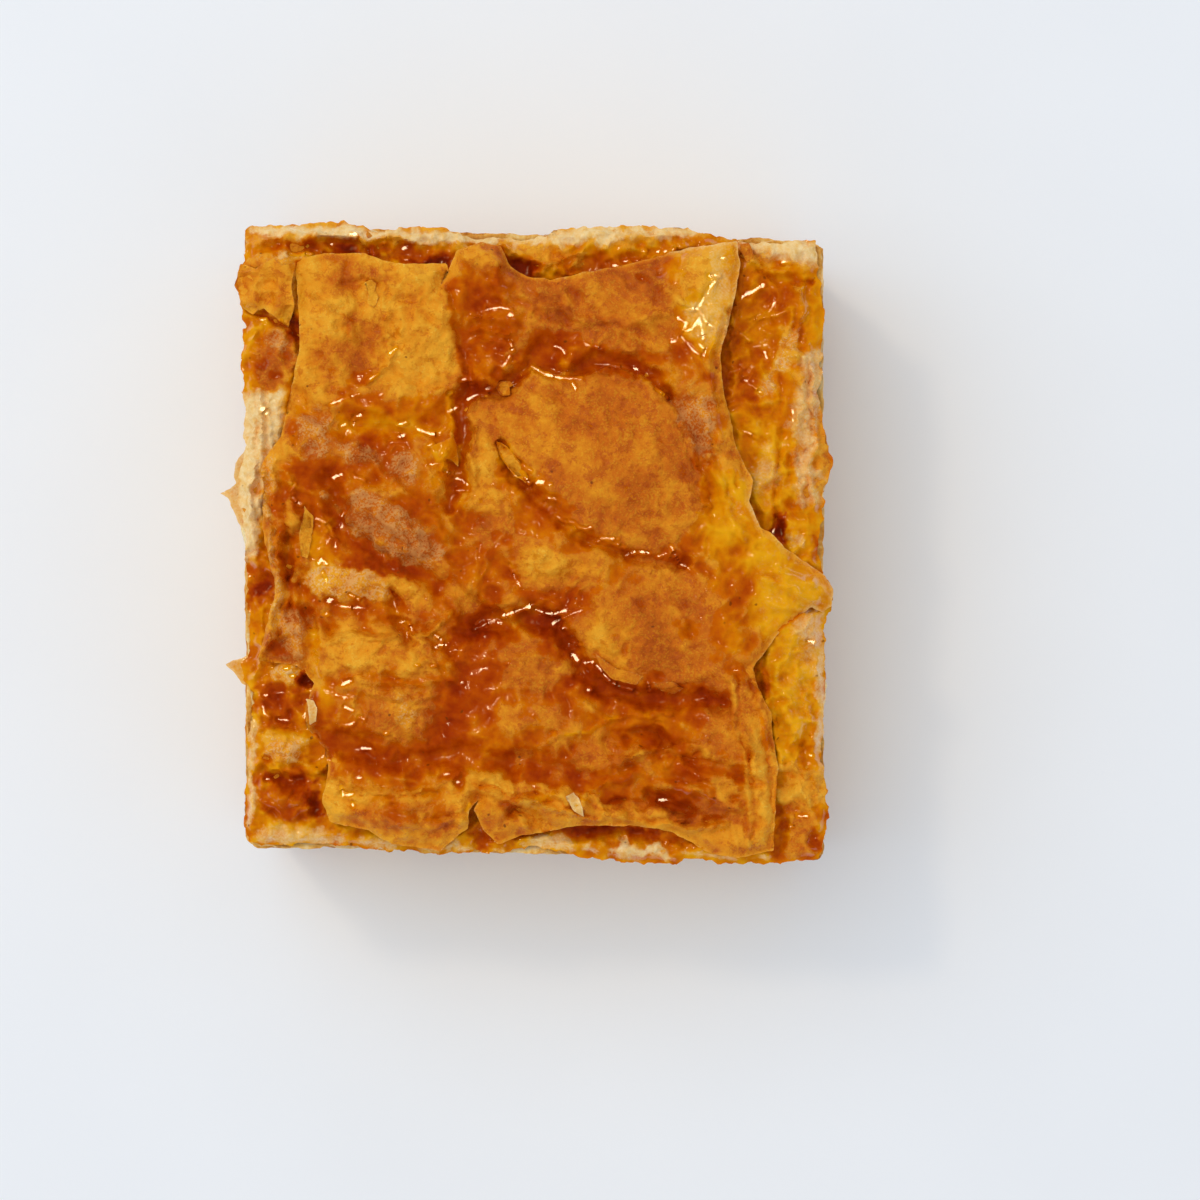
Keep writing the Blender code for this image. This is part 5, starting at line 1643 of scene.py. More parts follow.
@dataclass(frozen=True)
class BakedPhyllo:
    """Buttered phyllo baked golden: matte and mottled where dry, glassy amber where syrup lies on it."""

    name: str = "baked_phyllo"
    dry: Stops = ((0.0, "F2A624"), (0.19, "E89012"), (0.38, "CE6602"), (0.56, "AC4800"), (0.80, "8E3600"))
    smear: Stops = ((0.0, "E28C0A"), (0.19, "D27000"), (0.38, "BC5200"), (0.60, "9C3A00"), (0.85, "702000"))
    wet: Stops = (
        (0.0, "F2A60E"), (0.20, "E48600"), (0.35, "D46A00"), (0.50, "C04E00"), (0.66, "AA3800"), (0.80, "942800"),
        (1.0, "681600"),
    )  # fmt: skip
    film: Stops = ((0.0, "F8C040"), (0.25, "EA9A14"), (0.50, "CE7404"), (0.80, "A65400"))
    bloom: Stops = ((0.0, "F4C27C"), (0.25, "E8A65A"), (0.50, "CE823E"), (0.80, "A8622C"))
    cream: Stops = ((0.3, "FFE6AE"), (0.7, "F2BE68"))
    freckle: str = "7A3604"
    # Widths in millimetres of flour specks, fine blisters, browned blisters, hot spots of the oven, smears of
    # dried syrup and butter freckles. The specks are really finer, and as coarse as they need to be to show.
    speck_size: float = 0.30
    fine_size: float = 0.75
    mottle_size: float = 1.9
    blotch_size: float = 5.5
    smear_size: float = 1.7
    freckle_size: float = 2.4

    def make(self) -> bpy.types.Material:
        """Builds the material.

        Returns:
            The material.
        """
        pastry = Surface(self.name)
        look = add_node(pastry.tree, "ShaderNodeAttribute", attribute_name=LOOK_ATTRIBUTE)
        share = add_node(pastry.tree, "ShaderNodeSeparateColor", {"Color": look.outputs["Color"]}).outputs
        bent = pastry.bend(1.5, 0.45)
        speck = pastry.noise(self.speck_size)
        fine = pastry.noise(self.fine_size, 3.0, 0.6, bent)
        mottle = pastry.noise(self.mottle_size, 4.0, 0.60, bent)
        blotch = pastry.noise(self.blotch_size, 3.0, 0.55)
        islands = pastry.noise(self.smear_size, 5.0, 0.66, bent)
        damp = pastry.sum((share["Red"], 1.0), (fine, 0.26), (mottle, 0.36), (islands, 0.40), (speck, 0.36), base=-0.15)
        wet = pastry.step(damp, 0.90, 1.14)
        weights = ((share["Green"], 1.0), (blotch, 0.45), (mottle, 0.34), (fine, 0.30), (speck, 0.12))
        bake = pastry.sum(*weights, base=-0.605)
        deep = pastry.sum((share["Green"], 1.0), (blotch, 0.55), (mottle, 0.36), (fine, 0.14), base=-0.525)
        dry = pastry.ramp(bake, self.dry)
        island = pastry.step(pastry.sum((islands, 1.0), (speck, 0.25), base=-0.125), 0.53, 0.60, 0.0, 0.8)
        smeared = pastry.mix(island, dry, pastry.ramp(bake, self.smear))
        rosy = pastry.step(share["Blue"], 0.2, 0.8)
        pale = pastry.mix(rosy, pastry.ramp(bake, self.film), pastry.ramp(bake, self.bloom))
        weights = ((speck, 0.80), (fine, 0.30), (mottle, 0.60), (share["Blue"], 0.17), (island, -0.08))
        dust = pastry.sum(*weights, base=-0.175)
        filmed = pastry.mix(pastry.step(dust, 0.75, 0.86, 0.0, 0.85), smeared, pale)
        soaked = pastry.mix(wet, filmed, pastry.ramp(deep, self.wet))
        milk = pastry.sum((look.outputs["Alpha"], 1.0), (speck, 0.50), (fine, 0.40), (mottle, 0.22))
        creamy = pastry.mix(pastry.step(milk, 0.95, 1.55, 0.0, 0.95), soaked, pastry.ramp(fine, self.cream))
        cells = add_node(pastry.tree, "ShaderNodeTexVoronoi", {"Vector": bent, "Scale": per_mm(self.freckle_size)})
        near = pastry.step(cells.outputs["Distance"], 0.12, 0.05)
        spot = pastry.times(near, pastry.step(blotch, 0.50, 0.56, 0.0, 0.8))
        pastry.put("Base Color", pastry.mix(spot, creamy, linear(self.freckle)))
        matte = pastry.step(island, 0.0, 0.8, 0.60, 0.42)
        shiny = pastry.sum((wet, -0.46), (matte, 1.0))
        pastry.put("Roughness", pastry.step(shiny, 0.0, 1.0))
        pastry.put("Coat Weight", pastry.times(wet, 0.9))
        pastry.fix({"Coat Roughness": 0.03, "Coat IOR": 1.47, "IOR": 1.42, "Specular IOR Level": 0.28})
        grit = pastry.sum((speck, 0.30), (fine, 0.50), (mottle, 1.0), base=-0.90)
        calm = pastry.times(grit, pastry.step(wet, 0.0, 1.0, 1.0, 0.25))
        pastry.bump(calm, 0.34)
        return pastry.material


@dataclass(frozen=True)
class LeafEdges:
    """Cut edges of stacked phyllo leaves: crisp gold above, syrup-soaked amber below."""

    name: str
    shades: Stops = ((0.34, "FFE0A0"), (0.45, "F8C464"), (0.56, "E8A238"), (0.70, "C87816"), (0.86, "984C0A"))
    # Dark brown painted on the leaves' faces inward of the cut: painted shade in the gaps between leaves.
    painted_gap_shade: str = "8A4410"
    soak: float = 0.45
    # Soaked patches are some millimetres wide. Fibres of a torn leaf are finer than this, and drawn so that they show.
    patch_size: float = 4.5
    fibre_size: float = 0.45

    def make(self) -> bpy.types.Material:
        """Builds the material.

        Returns:
            The material.
        """
        edge = Surface(self.name)
        leaf = add_node(edge.tree, "ShaderNodeAttribute", attribute_name=LEAF_ATTRIBUTE).outputs["Fac"]
        rim = add_node(edge.tree, "ShaderNodeAttribute", attribute_name=RIM_ATTRIBUTE).outputs["Fac"]
        links = {"Vector": edge.place, "W": leaf, "Scale": per_mm(self.patch_size), "Detail": 4.0, "Roughness": 0.6}
        patch = add_node(edge.tree, "ShaderNodeTexNoise", links, noise_dimensions="4D").outputs[0]
        fibre = edge.noise(self.fibre_size, 3.0, 0.6)
        tone = edge.sum((patch, 1.5), (fibre, 0.30), base=-0.40)
        colour = edge.ramp(tone, self.shades)
        # Faces between the leaves darken towards the painted gap shade as the rim mark falls: painted shade.
        edge.put("Base Color", edge.mix(edge.step(rim, 0.97, 0.50, 0.0, 0.8), colour, linear(self.painted_gap_shade)))
        damp = edge.step(patch, 0.60 - 0.25 * self.soak, 0.68 - 0.1 * self.soak)
        edge.put("Roughness", edge.step(damp, 0.0, 1.0, 0.55, 0.22))
        edge.put("Coat Weight", edge.times(damp, 0.5))
        edge.fix({"Coat Roughness": 0.06, "IOR": 1.42})
        edge.bump(fibre, 0.15, 0.8)
        return edge.material


SOAKED_SHADES: Stops = ((0.34, "FFCC70"), (0.46, "F4AE3C"), (0.58, "DE8E1C"), (0.72, "BA680A"), (0.88, "8E4604"))


@dataclass(frozen=True)
class SetCustard:
    """Set semolina custard, cut with a knife: pale yellow, faintly grainy and moist, and light sinks into it."""

    name: str = "set_custard"
    body: Stops = ((0.40, "FFDE98"), (0.55, "FFD284"), (0.70, "F8C066"))
    soaked: str = "E2A040"
    # Swollen semolina is half a millimetre across, cut air bubbles lie over a millimetre apart, and the knife leaves
    # broader clouds and smears.
    grain_size: float = 0.5
    smear_size: float = 2.2
    cloud_size: float = 9.0
    pore_size: float = 1.4

    def make(self) -> bpy.types.Material:
        """Builds the material.

        Returns:
            The material.
        """
        custard = Surface(self.name)
        grain = custard.noise(self.grain_size, 3.0, 0.6)
        cloud = custard.noise(self.cloud_size, 4.0, 0.55)
        fine = custard.noise(self.smear_size, 3.0, 0.6)
        colour = custard.ramp(custard.sum((grain, 0.14), (cloud, 0.62), (fine, 0.24)), self.body)
        height = add_node(custard.tree, "ShaderNodeSeparateXYZ", {0: custard.place}).outputs["Z"]
        middle = (CUSTARD_LOW + CUSTARD_HIGH) / 2.0 * MM
        half = (CUSTARD_HIGH - CUSTARD_LOW) / 2.0
        level = custard.sum((height, 1.0), base=-middle)
        away = add_node(custard.tree, "ShaderNodeMath", {0: level}, operation="ABSOLUTE").outputs[0]
        seep = custard.step(custard.sum((away, 1.0), (cloud, 5.0 * MM)), (half + 0.6) * MM, (half + 3.6) * MM, 0.0, 0.8)
        custard.put("Base Color", custard.mix(seep, colour, linear(self.soaked)))
        custard.put("Roughness", custard.step(custard.sum((cloud, 0.5), (fine, 0.5)), 0.42, 0.60, 0.26, 0.46))
        custard.fix({"Subsurface Weight": 0.25, "Subsurface Radius": (1.0, 0.6, 0.25), "Subsurface Scale": 2.5 * MM})
        custard.fix({"IOR": 1.40})
        links = {"Vector": custard.bend(1.2, 0.3), "Scale": per_mm(self.pore_size)}
        pores = add_node(custard.tree, "ShaderNodeTexVoronoi", links)
        pit = custard.step(pores.outputs["Distance"], 0.10, 0.26)
        custard.bump(custard.sum((grain, 0.5), (pit, 0.25), (fine, 0.4)), 0.16, 0.8)
        return custard.material


@dataclass(frozen=True)
class PaleBoard:
    """A matte painted studio board, its paint faintly uneven from the roller."""

    name: str = "pale_painted_board"
    roller_size: float = 40.0
    paint: Stops = ((0.3, "F3F3F4"), (0.7, "F5F5F6"))

    def make(self) -> bpy.types.Material:
        """Builds the material.

        Returns:
            The material.
        """
        board = Surface(self.name)
        board.put("Base Color", board.ramp(board.noise(self.roller_size), self.paint))
        board.fix({"Roughness": 0.9, "Specular IOR Level": 0.2})
        return board.material


def run_geometry_nodes(
    mesh: bpy.types.Mesh, tree: bpy.types.NodeTree, values: dict[str, float | int], name: str
) -> bpy.types.Mesh:
    """Runs a Geometry Nodes tree on a mesh and keeps its result as a plain mesh.

    Args:
        mesh: the mesh that goes in.
        tree: the tree.
        values: the tree's named inputs.
        name: the name of the result.

    Returns:
        The plain mesh.
    """
    holder = add_object(name + "_source", mesh)
    modifier = holder.modifiers.new("repeat", "NODES")
    modifier.node_group = tree
    sockets = {item.name: item.identifier for item in tree.interface.items_tree if item.in_out == "INPUT"}
    for label, value in values.items():
        modifier[sockets[label]] = value
    graph = bpy.context.evaluated_depsgraph_get()
    result = bpy.data.meshes.new_from_object(holder.evaluated_get(graph), depsgraph=graph)
    result.name = name
    bpy.data.objects.remove(holder)
    return result


def new_geometry_tree(name: str, inputs: tuple[tuple[str, str], ...]) -> tuple[bpy.types.NodeTree, bpy.types.Node]:
    """Starts a Geometry Nodes tree.

    Args:
        name: the tree's name.
        inputs: name and socket type of each input after the geometry.

    Returns:
        The tree and its input node.
    """
    tree = bpy.data.node_groups.new(name, "GeometryNodeTree")
    tree.interface.new_socket("Geometry", in_out="INPUT", socket_type="NodeSocketGeometry")
    for label, kind in inputs:
        tree.interface.new_socket(label, in_out="INPUT", socket_type=kind)
    tree.interface.new_socket("Geometry", in_out="OUTPUT", socket_type="NodeSocketGeometry")
    return tree, tree.nodes.new("NodeGroupInput")


@dataclass
class LeafStack:
    """Thin pastry leaves piled over each other, wavy and ragged at their cut edges.

    Real leaves are about 0.2 mm thick. These are drawn thicker, so that each shows at the cut.
    """

    name: str
    slot: str
    low: float
    high: float
    count: int
    thick: float
    half_x: float
    half_y: float
    wave: float
    ragged: float
    uneven: float
    seed: int
    corner: float = 1.4
    corners: int = 560
    # Rings set in from the cut, and their rim marks, which let the edge wave and tear and set where the finish paints
    # shade between leaves.
    insets: tuple[float, ...] = (0.0, 0.6, 2.2, 7.0)
    rims: tuple[float, ...] = (1.0, 0.8, 0.45, 0.0)

    def leaf(self) -> bpy.types.Mesh:
        """One closed flat leaf, marked 1 at its rim and 0 inside.

        Returns:
            The leaf's mesh.
        """
        step = perimeter(SLICE_OUTLINE) / self.corners
        rim = cut_outline(self.half_x, self.half_y, self.corner, SKEW, step)
        count = len(rim)
        centre = rim.mean(0)
        rings = []
        for side in (0.0, -self.thick):
            for inset in self.insets:
                shrink = 1.0 - inset / HALF_SLICE
                level = np.full(count, self.low + self.thick + side)
                rings.append(np.column_stack([centre + (rim - centre) * shrink, level]))
        levels = len(self.insets)
        order = np.arange(count)
        after = np.roll(order, -1)
        quads = []
        for ring in range(levels - 1):
            a, b = ring * count, (ring + 1) * count
            quads.append(np.stack([a + order, b + order, b + after, a + after], axis=1)[:, ::-1])
            a, b = a + levels * count, b + levels * count
            quads.append(np.stack([a + order, b + order, b + after, a + after], axis=1))
        under = levels * count
        quads.append(np.stack([order, after, under + after, under + order], axis=1)[:, ::-1])
        caps = [((levels - 1) * count + order)[None, :], (under + (levels - 1) * count + order[::-1])[None, :]]
        if signed_area(rim) < 0.0:
            quads = [quad[:, ::-1] for quad in quads]
            caps = [cap[:, ::-1] for cap in caps]
        mesh = make_mesh(self.name + "_leaf", np.concatenate(rings), quads + caps)
        marks = mesh.attributes.new(RIM_ATTRIBUTE, "FLOAT", "POINT")
        marks.data.foreach_set("value", np.repeat(np.tile(self.rims, 2), count).astype(np.float32))
        return mesh

    def tree(self, finish: bpy.types.Material) -> bpy.types.NodeTree:
        """The tree that piles the leaves up.

        Args:
            finish: the leaves' material.

        Returns:
            The tree.
        """
        inputs = (
            ("Leaves", "NodeSocketInt"), ("Rise", "NodeSocketFloat"), ("Wave height", "NodeSocketFloat"),
            ("Wave length", "NodeSocketFloat"), ("Ragged edge", "NodeSocketFloat"), ("Tear length", "NodeSocketFloat"),
            ("Seed", "NodeSocketFloat"), ("Smallest", "NodeSocketFloat"),
        )  # fmt: skip
        tree, given = new_geometry_tree(self.name + "_pile", inputs)
        value = given.outputs
        rise = add_node(tree, "ShaderNodeCombineXYZ", {"Z": value["Rise"]})
        line = add_node(tree, "GeometryNodeMeshLine", {"Count": value["Leaves"], "Offset": rise})
        links = {2: 0.0, 3: value["Rise"], "Seed": self.seed + 1}
        shake = add_node(tree, "FunctionNodeRandomValue", links, data_type="FLOAT")
        uneven = add_node(tree, "ShaderNodeCombineXYZ", {"Z": shake.outputs[1]})
        spaced = add_node(tree, "GeometryNodeSetPosition", {"Geometry": line, "Offset": uneven})
        links = {2: value["Smallest"], 3: 1.0, "Seed": self.seed}
        size = add_node(tree, "FunctionNodeRandomValue", links, data_type="FLOAT").outputs[1]
        spread = add_node(tree, "ShaderNodeCombineXYZ", {"X": size, "Y": size, "Z": 1.0})
        links = {"Points": spaced, "Instance": value[0], "Scale": spread}
        copies = add_node(tree, "GeometryNodeInstanceOnPoints", links)
        links = {"Geometry": copies, "Name": LEAF_ATTRIBUTE, "Value": add_node(tree, "GeometryNodeInputIndex")}
        marked = add_node(tree, "GeometryNodeStoreNamedAttribute", links, data_type="FLOAT", domain="INSTANCE")
        real = add_node(tree, "GeometryNodeRealizeInstances", {"Geometry": marked})
        leaf, rim = (
            add_node(tree, "GeometryNodeInputNamedAttribute", {"Name": name}, data_type="FLOAT")
            for name in (LEAF_ATTRIBUTE, RIM_ATTRIBUTE)
        )
        # Each leaf reads its own slice of two noises, 3.7 apart: slow waves, and the tears along its edge.
        place = add_node(tree, "GeometryNodeInputPosition")
        key = add_node(tree, "ShaderNodeMath", {0: leaf, 1: 3.7, 2: value["Seed"]}, operation="MULTIPLY_ADD")
        waves = []
        for length in ("Wave length", "Tear length"):
            rate = add_node(tree, "ShaderNodeMath", {0: 1.0, 1: value[length]}, operation="DIVIDE")
            links = {"Vector": place, "W": key, "Scale": rate, "Detail": 2.0}
            noise = add_node(tree, "ShaderNodeTexNoise", links, noise_dimensions="4D")
            links = {0: noise.outputs["Color"], 1: (0.5, 0.5, 0.5)}
            waves.append(add_node(tree, "ShaderNodeVectorMath", links, operation="SUBTRACT"))
        links = {"X": value["Ragged edge"], "Y": value["Ragged edge"], "Z": value["Wave height"]}
        reach = add_node(tree, "ShaderNodeCombineXYZ", links)
        fine = add_node(tree, "ShaderNodeVectorMath", {0: reach, 1: (0.6, 0.6, 0.25)}, operation="MULTIPLY")
        broad = add_node(tree, "ShaderNodeVectorMath", {0: waves[0], 1: reach}, operation="MULTIPLY")
        links = {0: waves[1], 1: fine, 2: broad}
        both = add_node(tree, "ShaderNodeVectorMath", links, operation="MULTIPLY_ADD")
        held = add_node(tree, "ShaderNodeVectorMath", {0: both, "Scale": rim}, operation="SCALE")
        moved = add_node(tree, "GeometryNodeSetPosition", {"Geometry": real, "Offset": held})
        dressed = add_node(tree, "GeometryNodeSetMaterial", {"Geometry": moved, "Material": finish})
        add_node(tree, "NodeGroupOutput", {0: dressed})
        return tree

    def build(self, finish: bpy.types.Material) -> bpy.types.Object:
        """Piles up the leaves as one piece.

        Args:
            finish: the leaves' material.

        Returns:
            The piece.
        """
        values = {
            "Leaves": self.count,
            "Rise": (self.high - self.low - self.thick) / (self.count - 1) * MM,
            "Wave height": 2.0 * self.wave * MM,
            "Wave length": 11.0 * MM,
            "Ragged edge": 2.0 * self.ragged * MM,
            "Tear length": 1.7 * MM,
            "Seed": float(self.seed),
            "Smallest": 1.0 - self.uneven / self.half_x,
        }
        mesh = run_geometry_nodes(self.leaf(), self.tree(finish), values, self.name)
        smooth_normals(mesh, 50.0)
        return add_piece(self.name, mesh, finish)


def perimeter(outline: Route) -> float:
    """The length of an outline's line."""
    ends = np.array(outline + outline[:1], float)
    return float(np.hypot(*np.diff(ends, axis=0).T).sum())


def signed_area(outline: Array) -> float:
    """An outline's area, above zero where it runs anticlockwise."""
    after = np.roll(outline, -1, axis=0)
    return float((outline[:, 0] * after[:, 1] - outline[:, 1] * after[:, 0]).sum() / 2.0)


@dataclass(frozen=True)
class Bulge:
    """A place where the custard stands out or is pitted."""

    x: float
    y: float
    z: float
    wide: float
    out: float


@dataclass
class CustardSlab:
    """The set custard, bulging a little between the pastry and marked by the knife."""

    half_x: float = 37.9
    half_y: float = 41.0
    corner: float = 1.6
    step: float = 0.40
    rows: int = 66
    belly: float = 0.7
    bulges: tuple[Bulge, ...] = (
        Bulge(-38, 5, 26, 8, 1.6), Bulge(-38, -16, 27, 4, 1), Bulge(38, 12, 27, 6, 0.9),
        Bulge(38, -20, 22, 8, 0.7), Bulge(10, -41, 17, 9, 0.6), Bulge(-20, -41, 12, 6, -0.5),
        Bulge(-12, 41, 20, 8, 0.7), Bulge(22, 41, 11, 7, -0.5),
    )  # fmt: skip

    def build(self, finish: bpy.types.Material) -> bpy.types.Object:
        """Makes the slab as one piece.

        Args:
            finish: its material.

        Returns:
            The piece.
        """
        rim = cut_outline(self.half_x, self.half_y, self.corner, SKEW, self.step)
        count = len(rim)
        ahead = np.roll(rim, -3, axis=0) - np.roll(rim, 3, axis=0)
        out = np.stack([ahead[:, 1], -ahead[:, 0]], axis=1)
        out /= np.linalg.norm(out, axis=1, keepdims=True)
        levels = np.linspace(0.0, 1.0, self.rows)
        x = np.tile(rim[:, 0], (self.rows, 1))
        y = np.tile(rim[:, 1], (self.rows, 1))
        z = np.tile((CUSTARD_HIGH + (CUSTARD_LOW - CUSTARD_HIGH) * levels)[:, None], (1, count))
        # The belly and the drawn-in rims, then slow swells, dents, grain, and level lines that the knife dragged.
        push = self.belly * np.sin(math.pi * levels)[:, None] - 0.5 * (np.abs(2.0 * levels - 1.0)[:, None] ** 14)
        push = push + 0.45 * SIDE_NOISE.layers(x, y, z * 0.7, 13.0, 2)
        push += 0.28 * SIDE_NOISE.layers(x, y, z * 1.6, 3.6, 3)
        push += 0.10 * SIDE_NOISE.layers(x, y, z, 0.95, 2, 0.7)
        push += 0.16 * SIDE_NOISE.at(x * 0.3, y * 0.3, z * 2.4 + 60.0, 2.2)
        for bulge in self.bulges:
            away = ((x - bulge.x) ** 2 + (y - bulge.y) ** 2 + 2.0 * (z - bulge.z) ** 2) / bulge.wide**2
            push += bulge.out * np.exp(-away)
        push -= 0.55 * pits(x, y, z, 3.4, 0.16) + 0.35 * pits(x, y, z, 1.9, 0.17)
        px, py = x + out[:, 0] * push, y + out[:, 1] * push
        z = z + 0.25 * SIDE_NOISE.at(x, y, 50.0, 9.0) * (1.0 - levels)[:, None]
        side = np.stack([px, py, z], axis=2).reshape(-1, 3)
        order = np.arange(count)
        after = np.roll(order, -1)
        faces = []
        for row in range(self.rows - 1):
            a, b = row * count, (row + 1) * count
            faces.append(np.stack([a + order, a + after, b + after, b + order], axis=1))
        points = [side]
        start = len(side)
        for ring, level, flip in ((0, CUSTARD_HIGH, False), (self.rows - 1, CUSTARD_LOW, True)):
            last = ring * count
            for inset in (0.94, 0.75):
                points.append(np.column_stack([rim * inset, np.full(count, level)]))
                quads = np.stack([last + order, start + order, start + after, last + after], axis=1)
                faces.append(quads[:, ::-1] if flip else quads)
                last, start = start, start + count
            cap = (last + order)[None, :]
            faces.append(cap[:, ::-1] if flip else cap)
        if signed_area(rim) > 0.0:
            faces = [face[:, ::-1] for face in faces]
        mesh = make_mesh("custard_block", np.concatenate(points), faces)
        smooth_normals(mesh, 60.0)
        return add_piece("custard_block", mesh, finish)


def pits(x: Array, y: Array, z: Array, spacing: float, radius: float) -> Array:
    """Small round holes scattered through a body.

    Args:
        x: x of the points.
        y: y of the points.
        z: z of the points.
        spacing: distance between holes.
        radius: a hole's radius as a share of the spacing.

    Returns:
        1 in the middle of a hole, 0 outside.
    """
    spots = np.stack([x, y, z], axis=-1) / spacing + 51.0
    cell = np.floor(spots).astype(int)
    depth = np.zeros(x.shape)
    for corner in np.ndindex(3, 3, 3):
        near = cell + np.array(corner) - 1
        key = (near[..., 0] * 73 + near[..., 1] * 179 + near[..., 2] * 283) % 9973
        middle = near + np.stack([key * 0.618 % 1.0, key * 0.414 % 1.0, key * 0.732 % 1.0], axis=-1)
        size = radius * (0.5 + key * 0.236 % 1.0)
        away = np.linalg.norm(spots - middle, axis=-1) / size
        depth = np.maximum(depth, smooth_step(1.3 - away))
    return depth


@dataclass
class EdgeShards:
    """Broken bits of leaf that stick out of the top stack's cut edges."""

    count: int = 900
    low: float = STACK_LOW + 0.4
    high: float = STACK_HIGH - 0.2
    seed: int = 5

    def band(self) -> bpy.types.Mesh:
        """The ring of faces that the bits stand on, just inside the cut.

        Returns:
            The band's mesh.
        """
        rim = np.array(resample(SLICE_OUTLINE, 2.0, 0.0, 1.0, 0.0)) * (1.0 - 0.7 / HALF_SLICE)
        count = len(rim)
        order = np.arange(count)
        after = np.roll(order, -1)
        points = np.concatenate([np.column_stack([rim, np.full(count, level)]) for level in (self.low, self.high)])
        quads = np.stack([order, after, count + after, count + order], axis=1)
        if signed_area(rim) < 0.0:
            quads = quads[:, ::-1]
        return make_mesh("edge_band", points, [quads])

    def bit(self) -> bpy.types.Object:
        """One rounded, curled bit, a millimetre across.

        Returns:
            The bit.
        """
        reach = np.array([1.0, 0.9, 1.0, 0.85, 0.95, 1.0, 0.85, 0.95, 0.9]) * 0.5
        turns = np.linspace(0.0, 2.0 * math.pi, len(reach), endpoint=False)
        rim = np.stack([reach * np.cos(turns), reach * np.sin(turns) * 1.2, 0.12 * np.cos(2.0 * turns)], axis=1)
        inner = rim * np.array([0.6, 0.6, 1.0]) + np.array([0.0, 0.0, 0.16])
        drop = np.array([0.0, 0.0, -0.34])
        points = np.concatenate([inner, rim, inner + drop, rim + drop * 0.6])
        a, b, c, d = rings = np.arange(len(points)).reshape(4, -1)
        next_a, next_b, next_c, next_d = np.roll(rings, -1, axis=1)
        top = np.stack([a, b, next_b, next_a], axis=1)
        under = np.stack([c, next_c, next_d, d], axis=1)
        wall = np.stack([b, d, next_d, next_b], axis=1)
        mesh = make_mesh("shard", points, [top, under, wall, a[None, :], c[::-1][None, :]])
        return add_object("shard_source", mesh)

    def build(self, finish: bpy.types.Material) -> bpy.types.Object:
        """Scatters the shards as one piece.

        Args:
            finish: their material.

        Returns:
            The piece.
        """
        inputs = (
            ("Count", "NodeSocketFloat"), ("Smallest", "NodeSocketFloat"), ("Largest", "NodeSocketFloat"),
            ("Seed", "NodeSocketInt"),
        )  # fmt: skip
        tree, given = new_geometry_tree("edge_shards_scatter", inputs)
        value = given.outputs
        source = self.bit()
        bit = add_node(tree, "GeometryNodeObjectInfo", {"Object": source})
        links = {"Mesh": value[0], "Density": value["Count"], "Seed": value["Seed"]}
        spots = add_node(tree, "GeometryNodeDistributePointsOnFaces", links)
        links = {0: (-0.45, -0.45, -3.14), 1: (0.45, 0.45, 3.14), "Seed": value["Seed"]}
        tilt = add_node(tree, "FunctionNodeRandomValue", links, data_type="FLOAT_VECTOR")
        links = {2: value["Smallest"], 3: value["Largest"], "Seed": value["Seed"]}
        size = add_node(tree, "FunctionNodeRandomValue", links, data_type="FLOAT").outputs[1]
        links = {"Points": spots, "Instance": bit.outputs["Geometry"], "Rotation": tilt, "Scale": size}
        copies = add_node(tree, "GeometryNodeInstanceOnPoints", links)
        real = add_node(tree, "GeometryNodeRealizeInstances", {"Geometry": copies})
        dressed = add_node(tree, "GeometryNodeSetMaterial", {"Geometry": real, "Material": finish})
        add_node(tree, "NodeGroupOutput", {0: dressed})
        area = perimeter(SLICE_OUTLINE) * (self.high - self.low) * MM * MM
        values = {"Count": self.count / area, "Smallest": 0.5, "Largest": 1.5, "Seed": self.seed}
        mesh = run_geometry_nodes(self.band(), tree, values, "edge_shards")
        bpy.data.objects.remove(source)
        marks = mesh.attributes.new(RIM_ATTRIBUTE, "FLOAT", "POINT")
        marks.data.foreach_set("value", np.ones(len(mesh.vertices), np.float32))
        smooth_normals(mesh, 40.0)
        return add_piece("edge_shards", mesh, finish)


